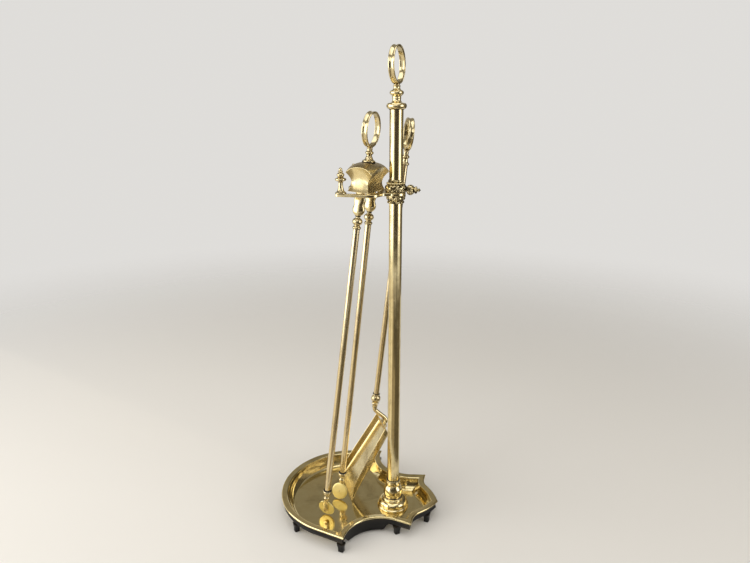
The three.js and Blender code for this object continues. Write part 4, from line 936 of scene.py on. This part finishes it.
def buildPan():
    shape = shovelShape
    growth = shape["length"] * 0.27
    lean = shape["backLean"] / shape["length"] / shape["wall"]
    mesh = bmesh.new()
    grid = []
    for inset, low, high in panSection():
        row = []
        for x, y in panPath(inset):
            grown = sin(min(max(x / growth, 0), 1) * pi / 2) ** 1.15
            z = low + (high - low) * grown
            row.append(mesh.verts.new((x * (1 + lean * z), y, z)))
        grid.append(row)
    last = len(grid[0]) - 1
    for low, high in zip(grid, grid[1:]):
        for i in range(last):
            addFace(mesh, [low[i], low[i + 1], high[i + 1], high[i]])
    for row in (grid[0], grid[-1]):
        for i in range(last // 2):
            addFace(mesh, [row[i], row[i + 1], row[last - i - 1], row[last - i]])
    addFace(mesh, [row[0] for row in grid] + [row[-1] for row in reversed(grid)])
    addPiece("shovel_pan_sheet", mesh, panAt, "shovel", ["shovel_pan"], panBrass, sharp=40)

    start, end = -shape["sheet"] * cos(radians(backAngle)) - 0.3, 3
    for number, side in ((1, -1), (2, 1)):
        rivet = Profile(0, start - 1.1).arc(3, start, 0.3, 6).to(1.5, start).to(1.5, end).to(3, end)
        rivet.arc(0, end + 1.2, 0.3, 6)
        place = backAt @ at(0, side * shape["rivets"], 0) @ turn(90, "Y")
        addTurned(f"palm_rivet_{number}", rivet, place, "shovel", [f"shovel_rivet_{number}"], rivetBrass,
                  ease=0.2, sides=48)


# the palm's sections are half width, half thickness and height out from the back wall
neckShape = {
    "radius": 3.5, "spread": 0.5, "spreadSteps": 8, "steps": 26, "curveFrom": 0.09, "pull": 17.5, "hang": 9,
    "palm": [(13.4, 3.9, 0.3), (14, 4.5, 0.6), (14, 4.5, 2.3), (13.4, 3.9, 2.7), (5.2, 4, 2.9),
             (4.2, 3.8, 3.8)],
}


# palm on the pan's back wall, and the bar that sweeps up from it into the socket
def buildNeck():
    shape = neckShape
    radius = shape["radius"]
    toBack = backAt.inverted() @ handleAt
    mouth = -shovelShape["socketDrop"] - 2

    def hanging(height):
        return toBack @ Vector((0, 0, height * mm)) / mm

    sideways, upwards = Vector((0, 1, 0)), Vector((0, 0, 1))
    rings = [ovalRing(Vector((out, 0, 0)), sideways, upwards, wide, thick)
             for wide, thick, out in shape["palm"]]
    a, b = Vector((1.5, 0, 0)), Vector((shape["pull"], 0, 0))
    c, d = hanging(mouth - shape["hang"]), hanging(mouth)
    centres = []
    for step in range(shape["steps"] + 1):
        t = shape["curveFrom"] + (1 - shape["curveFrom"]) * step / shape["steps"]
        centres.append(a * (1 - t) ** 3 + b * 3 * t * (1 - t) ** 2 + c * 3 * t * t * (1 - t) + d * t ** 3)
    centres += [hanging(mouth + 3), hanging(mouth + 7)]
    for i, centre in enumerate(centres):
        ahead = (centres[min(i + 1, len(centres) - 1)] - centres[max(i - 1, 0)]).normalized()
        sideways = (sideways - ahead * sideways.dot(ahead)).normalized()
        width = radius + shape["spread"] * max(1 - i / shape["spreadSteps"], 0)
        rings.append(ovalRing(centre, sideways, ahead.cross(sideways), width, radius))
    addPiece("shovel_neck_forging", loft(rings), backAt, "shovel", ["shovel_neck"], sharp=50)


def buildShovelHandle():
    shape = shovelShape
    radius, foot = shape["shaftRadius"], shape["shaftFoot"]
    bore, drop = shape["socketBore"], -shape["socketDrop"]
    socket = Profile(0, drop + 2).to(bore, drop + 2).to(bore, drop).to(bore + 0.9, drop)
    socket.arc(bore + 2.2, -9, -0.7).to(bore + 1.4, -8).to(bore + 2, -6.4)
    socket.arc(bore + 2, 4.4, 2.1, 20).to(bore + 1, 5.4)
    socket.arc(bore + 1.6, foot, 0.8, 6).to(0, foot)
    addTurned("shovel_socket_turning", socket, handleAt, "shovel", ["shovel_socket"], agedBrass, ease=0.35,
              sides=72)
    addSeam("socket_seam", radius, foot + 0.1, handleAt, "shovel", 1.2)
    top = shaftRun.length + shape["pastCrook"]
    shaft = rod(radius, foot + 0.1, top)
    addTurned("shovel_shaft_tube", shaft, handleAt, "shovel", ["shovel_shaft"], shaftBrass, ease=0.2,
              sides=64)
    stem = Profile(0, 0).to(6, 0).arc(6.2, 2.2, 0.5, 6).arc(4.1, 6.4, -0.7, 8).to(3.6, 8.4)
    stem.to(4.8, 9.6).arc(4.8, 13, 0.9, 8).to(3.6, 14.2).to(4, 19).to(0, 19).raised(top + 0.1)
    addTurned("shovel_stem_turning", stem, handleAt, "shovel", ["shovel_stem"], agedBrass, ease=0.3, sides=72)
    addSeam("shovel_stem_seam", radius, top - 0.1, handleAt, "shovel", 1.4)
    ringAt = handleAt @ at(0, 0, top + 19.6) @ turn(shape["ringTurn"], "Z")
    addHandleRing("shovel_ring", shape["ringRadius"], ringAt, "shovel", "shovel_ring")


buildPan()
buildNeck()
buildShovelHandle()
print("shovel: pan, neck, socket, shaft and ring")


# studio: pale floor, soft lamps, and a dim room that only the brass mirrors

studio = {
    "floor": (0.84, 0.82, 0.79), "backdrop": (0.74, 0.725, 0.70), "ceiling": (0.27, 0.25, 0.21),
    "floorRadius": 2200, "floorDull": 0.7, "floorDrop": 0.2, "fadeFrom": 0.5, "fadeTo": 2.09,
    "backdropTop": 0.2, "ceilingFrom": 0.5,
}


# pale floor that fades out into the backdrop
def buildFloor():
    board = Finish("pale_floor")
    away = board.add("ShaderNodeVectorMath", {"operation": "LENGTH"}, {0: board.where()}, "Value")
    shown = board.ramp(away, studio["fadeFrom"], studio["fadeTo"], 1, 0)
    material = board.surface(Base_Color=studio["floor"], Roughness=studio["floorDull"], Alpha=shown)
    rings = [circle(studio["floorRadius"] * share, 0, 96) for share in (1, 0.7, 0.4, 0.2)]
    data = meshData("floor", loft(rings, capStart=False), material)
    data.flip_normals()
    floor = newObject("floor", data)
    floor.location.z = -studio["floorDrop"] * mm


def buildWorld():
    world = bpy.data.worlds.new("studio")
    bpy.context.scene.world = world
    board = Finish("studio", world)
    high = board.ramp(board.height(board.where("Generated")), studio["backdropTop"], studio["ceilingFrom"])
    colour = board.blend(high, studio["backdrop"], studio["ceiling"])
    board.glow("ShaderNodeBackground", "ShaderNodeOutputWorld", colour)


# a spot round the set in metres; bearing 0 is the -Y side and grows towards +X
def around(bearing, distance, up):
    return Vector((distance * sin(radians(bearing)), -distance * cos(radians(bearing)), up))


# soft lamps: bearing, distance, height, width, tall, watts, colour, and the height each looks at
lamps = {
    "left_window": (-60, 1.5, 0.75, 1.7, 1.5, 19, (1, 0.98, 0.94), 0.35),
    "right_window": (79, 1.7, 0.8, 0.8, 1.5, 8, (1, 0.98, 0.95), 0.35),
    "front_ceiling": (4, 1.5, 1.35, 1.2, 0.8, 4.5, (1, 0.99, 0.97), 0.1),
    "overhead": (0, 0.2, 2.1, 1.6, 1.6, 12, (1, 0.99, 0.97), 0),
}


def addLamp(name, bearing, distance, up, width, tall, watts, colour, targetUp):
    lamp = bpy.data.lights.new(name, "AREA")
    lamp.shape = "RECTANGLE"
    lamp.size = width
    lamp.size_y = tall
    lamp.energy = watts
    lamp.color = colour
    holder = newObject(name, lamp)
    holder.location = around(bearing, distance, up)
    holder.rotation_euler = (Vector((0, 0, targetUp)) - holder.location).to_track_quat("-Z", "Y").to_euler()
    holder.visible_camera = False


# cards that only the polished metal sees, walls and rugs of a dim room: bearings from and to,
# distance and height of the near edge, distance and height of the far edge, colour
cards = {
    "dark_room_front": (-14, 54, 1.25, 0.1, 1.25, 1.0, (0.06, 0.05, 0.036)),
    "dark_room_low": (2, 66, 0.6, 0, 0.6, 0.18, (0.10, 0.085, 0.06)),
    "dim_room_right": (100, 124, 1.25, 0, 1.25, 1.4, (0.24, 0.21, 0.165)),
    "dark_room_right": (124, 176, 1.25, 0, 1.25, 1.2, (0.09, 0.078, 0.055)),
    "dim_wall_behind": (172, 262, 1.3, 0.45, 1.3, 0.86, (0.30, 0.265, 0.205)),
    "rug_left": (-110, -20, 0.2, 0.001, 1.4, 0.001, (0.88, 0.80, 0.66)),
    "rug_front": (-20, 36, 0.2, 0.001, 1.2, 0.001, (0.34, 0.285, 0.20)),
    "rug_right": (36, 120, 0.2, 0.001, 1.4, 0.001, (0.12, 0.10, 0.065)),
}


def addCard(name, bearingFrom, bearingTo, near, bottom, far, top, colour):
    bearings = [bearingFrom + (bearingTo - bearingFrom) * step / 10 for step in range(11)]
    rings = [[around(bearing, distance, up) / mm for bearing in bearings]
             for distance, up in ((near, bottom), (far, top))]
    material = Finish(name).glow("ShaderNodeEmission", "ShaderNodeOutputMaterial", colour)
    mesh = loft(rings, capStart=False, capEnd=False, around=False)
    card = newObject(name, meshData(name, mesh, material))
    for ray in ("camera", "diffuse", "shadow", "transmission"):
        setattr(card, "visible_" + ray, False)


# the camera's bearing and dip in degrees, and its place in millimetres from the column
view = {"bearing": 14, "dip": 16.07, "right": 176.8, "front": -830.5, "up": 634, "lens": 28.8}


def buildCamera():
    data = bpy.data.cameras.new("camera")
    data.lens = view["lens"]
    data.sensor_width = 36
    data.clip_start = 0.02
    data.clip_end = 50
    camera = newObject("camera", data)
    bearing, dip = radians(view["bearing"]), radians(view["dip"])
    ahead = Vector((-sin(bearing) * cos(dip), cos(bearing) * cos(dip), -sin(dip)))
    camera.location = Vector((columnX + view["right"], view["front"], view["up"])) * mm
    camera.rotation_euler = ahead.to_track_quat("-Z", "Y").to_euler()
    bpy.context.scene.camera = camera


buildFloor()
buildWorld()
for lampName, lampSetting in lamps.items():
    addLamp(lampName, *lampSetting)
for cardName, cardSetting in cards.items():
    addCard(cardName, *cardSetting)
buildCamera()
bpy.context.scene.view_settings.view_transform = "Standard"
print("studio: floor, lamps and camera")

bpy.context.view_layer.update()
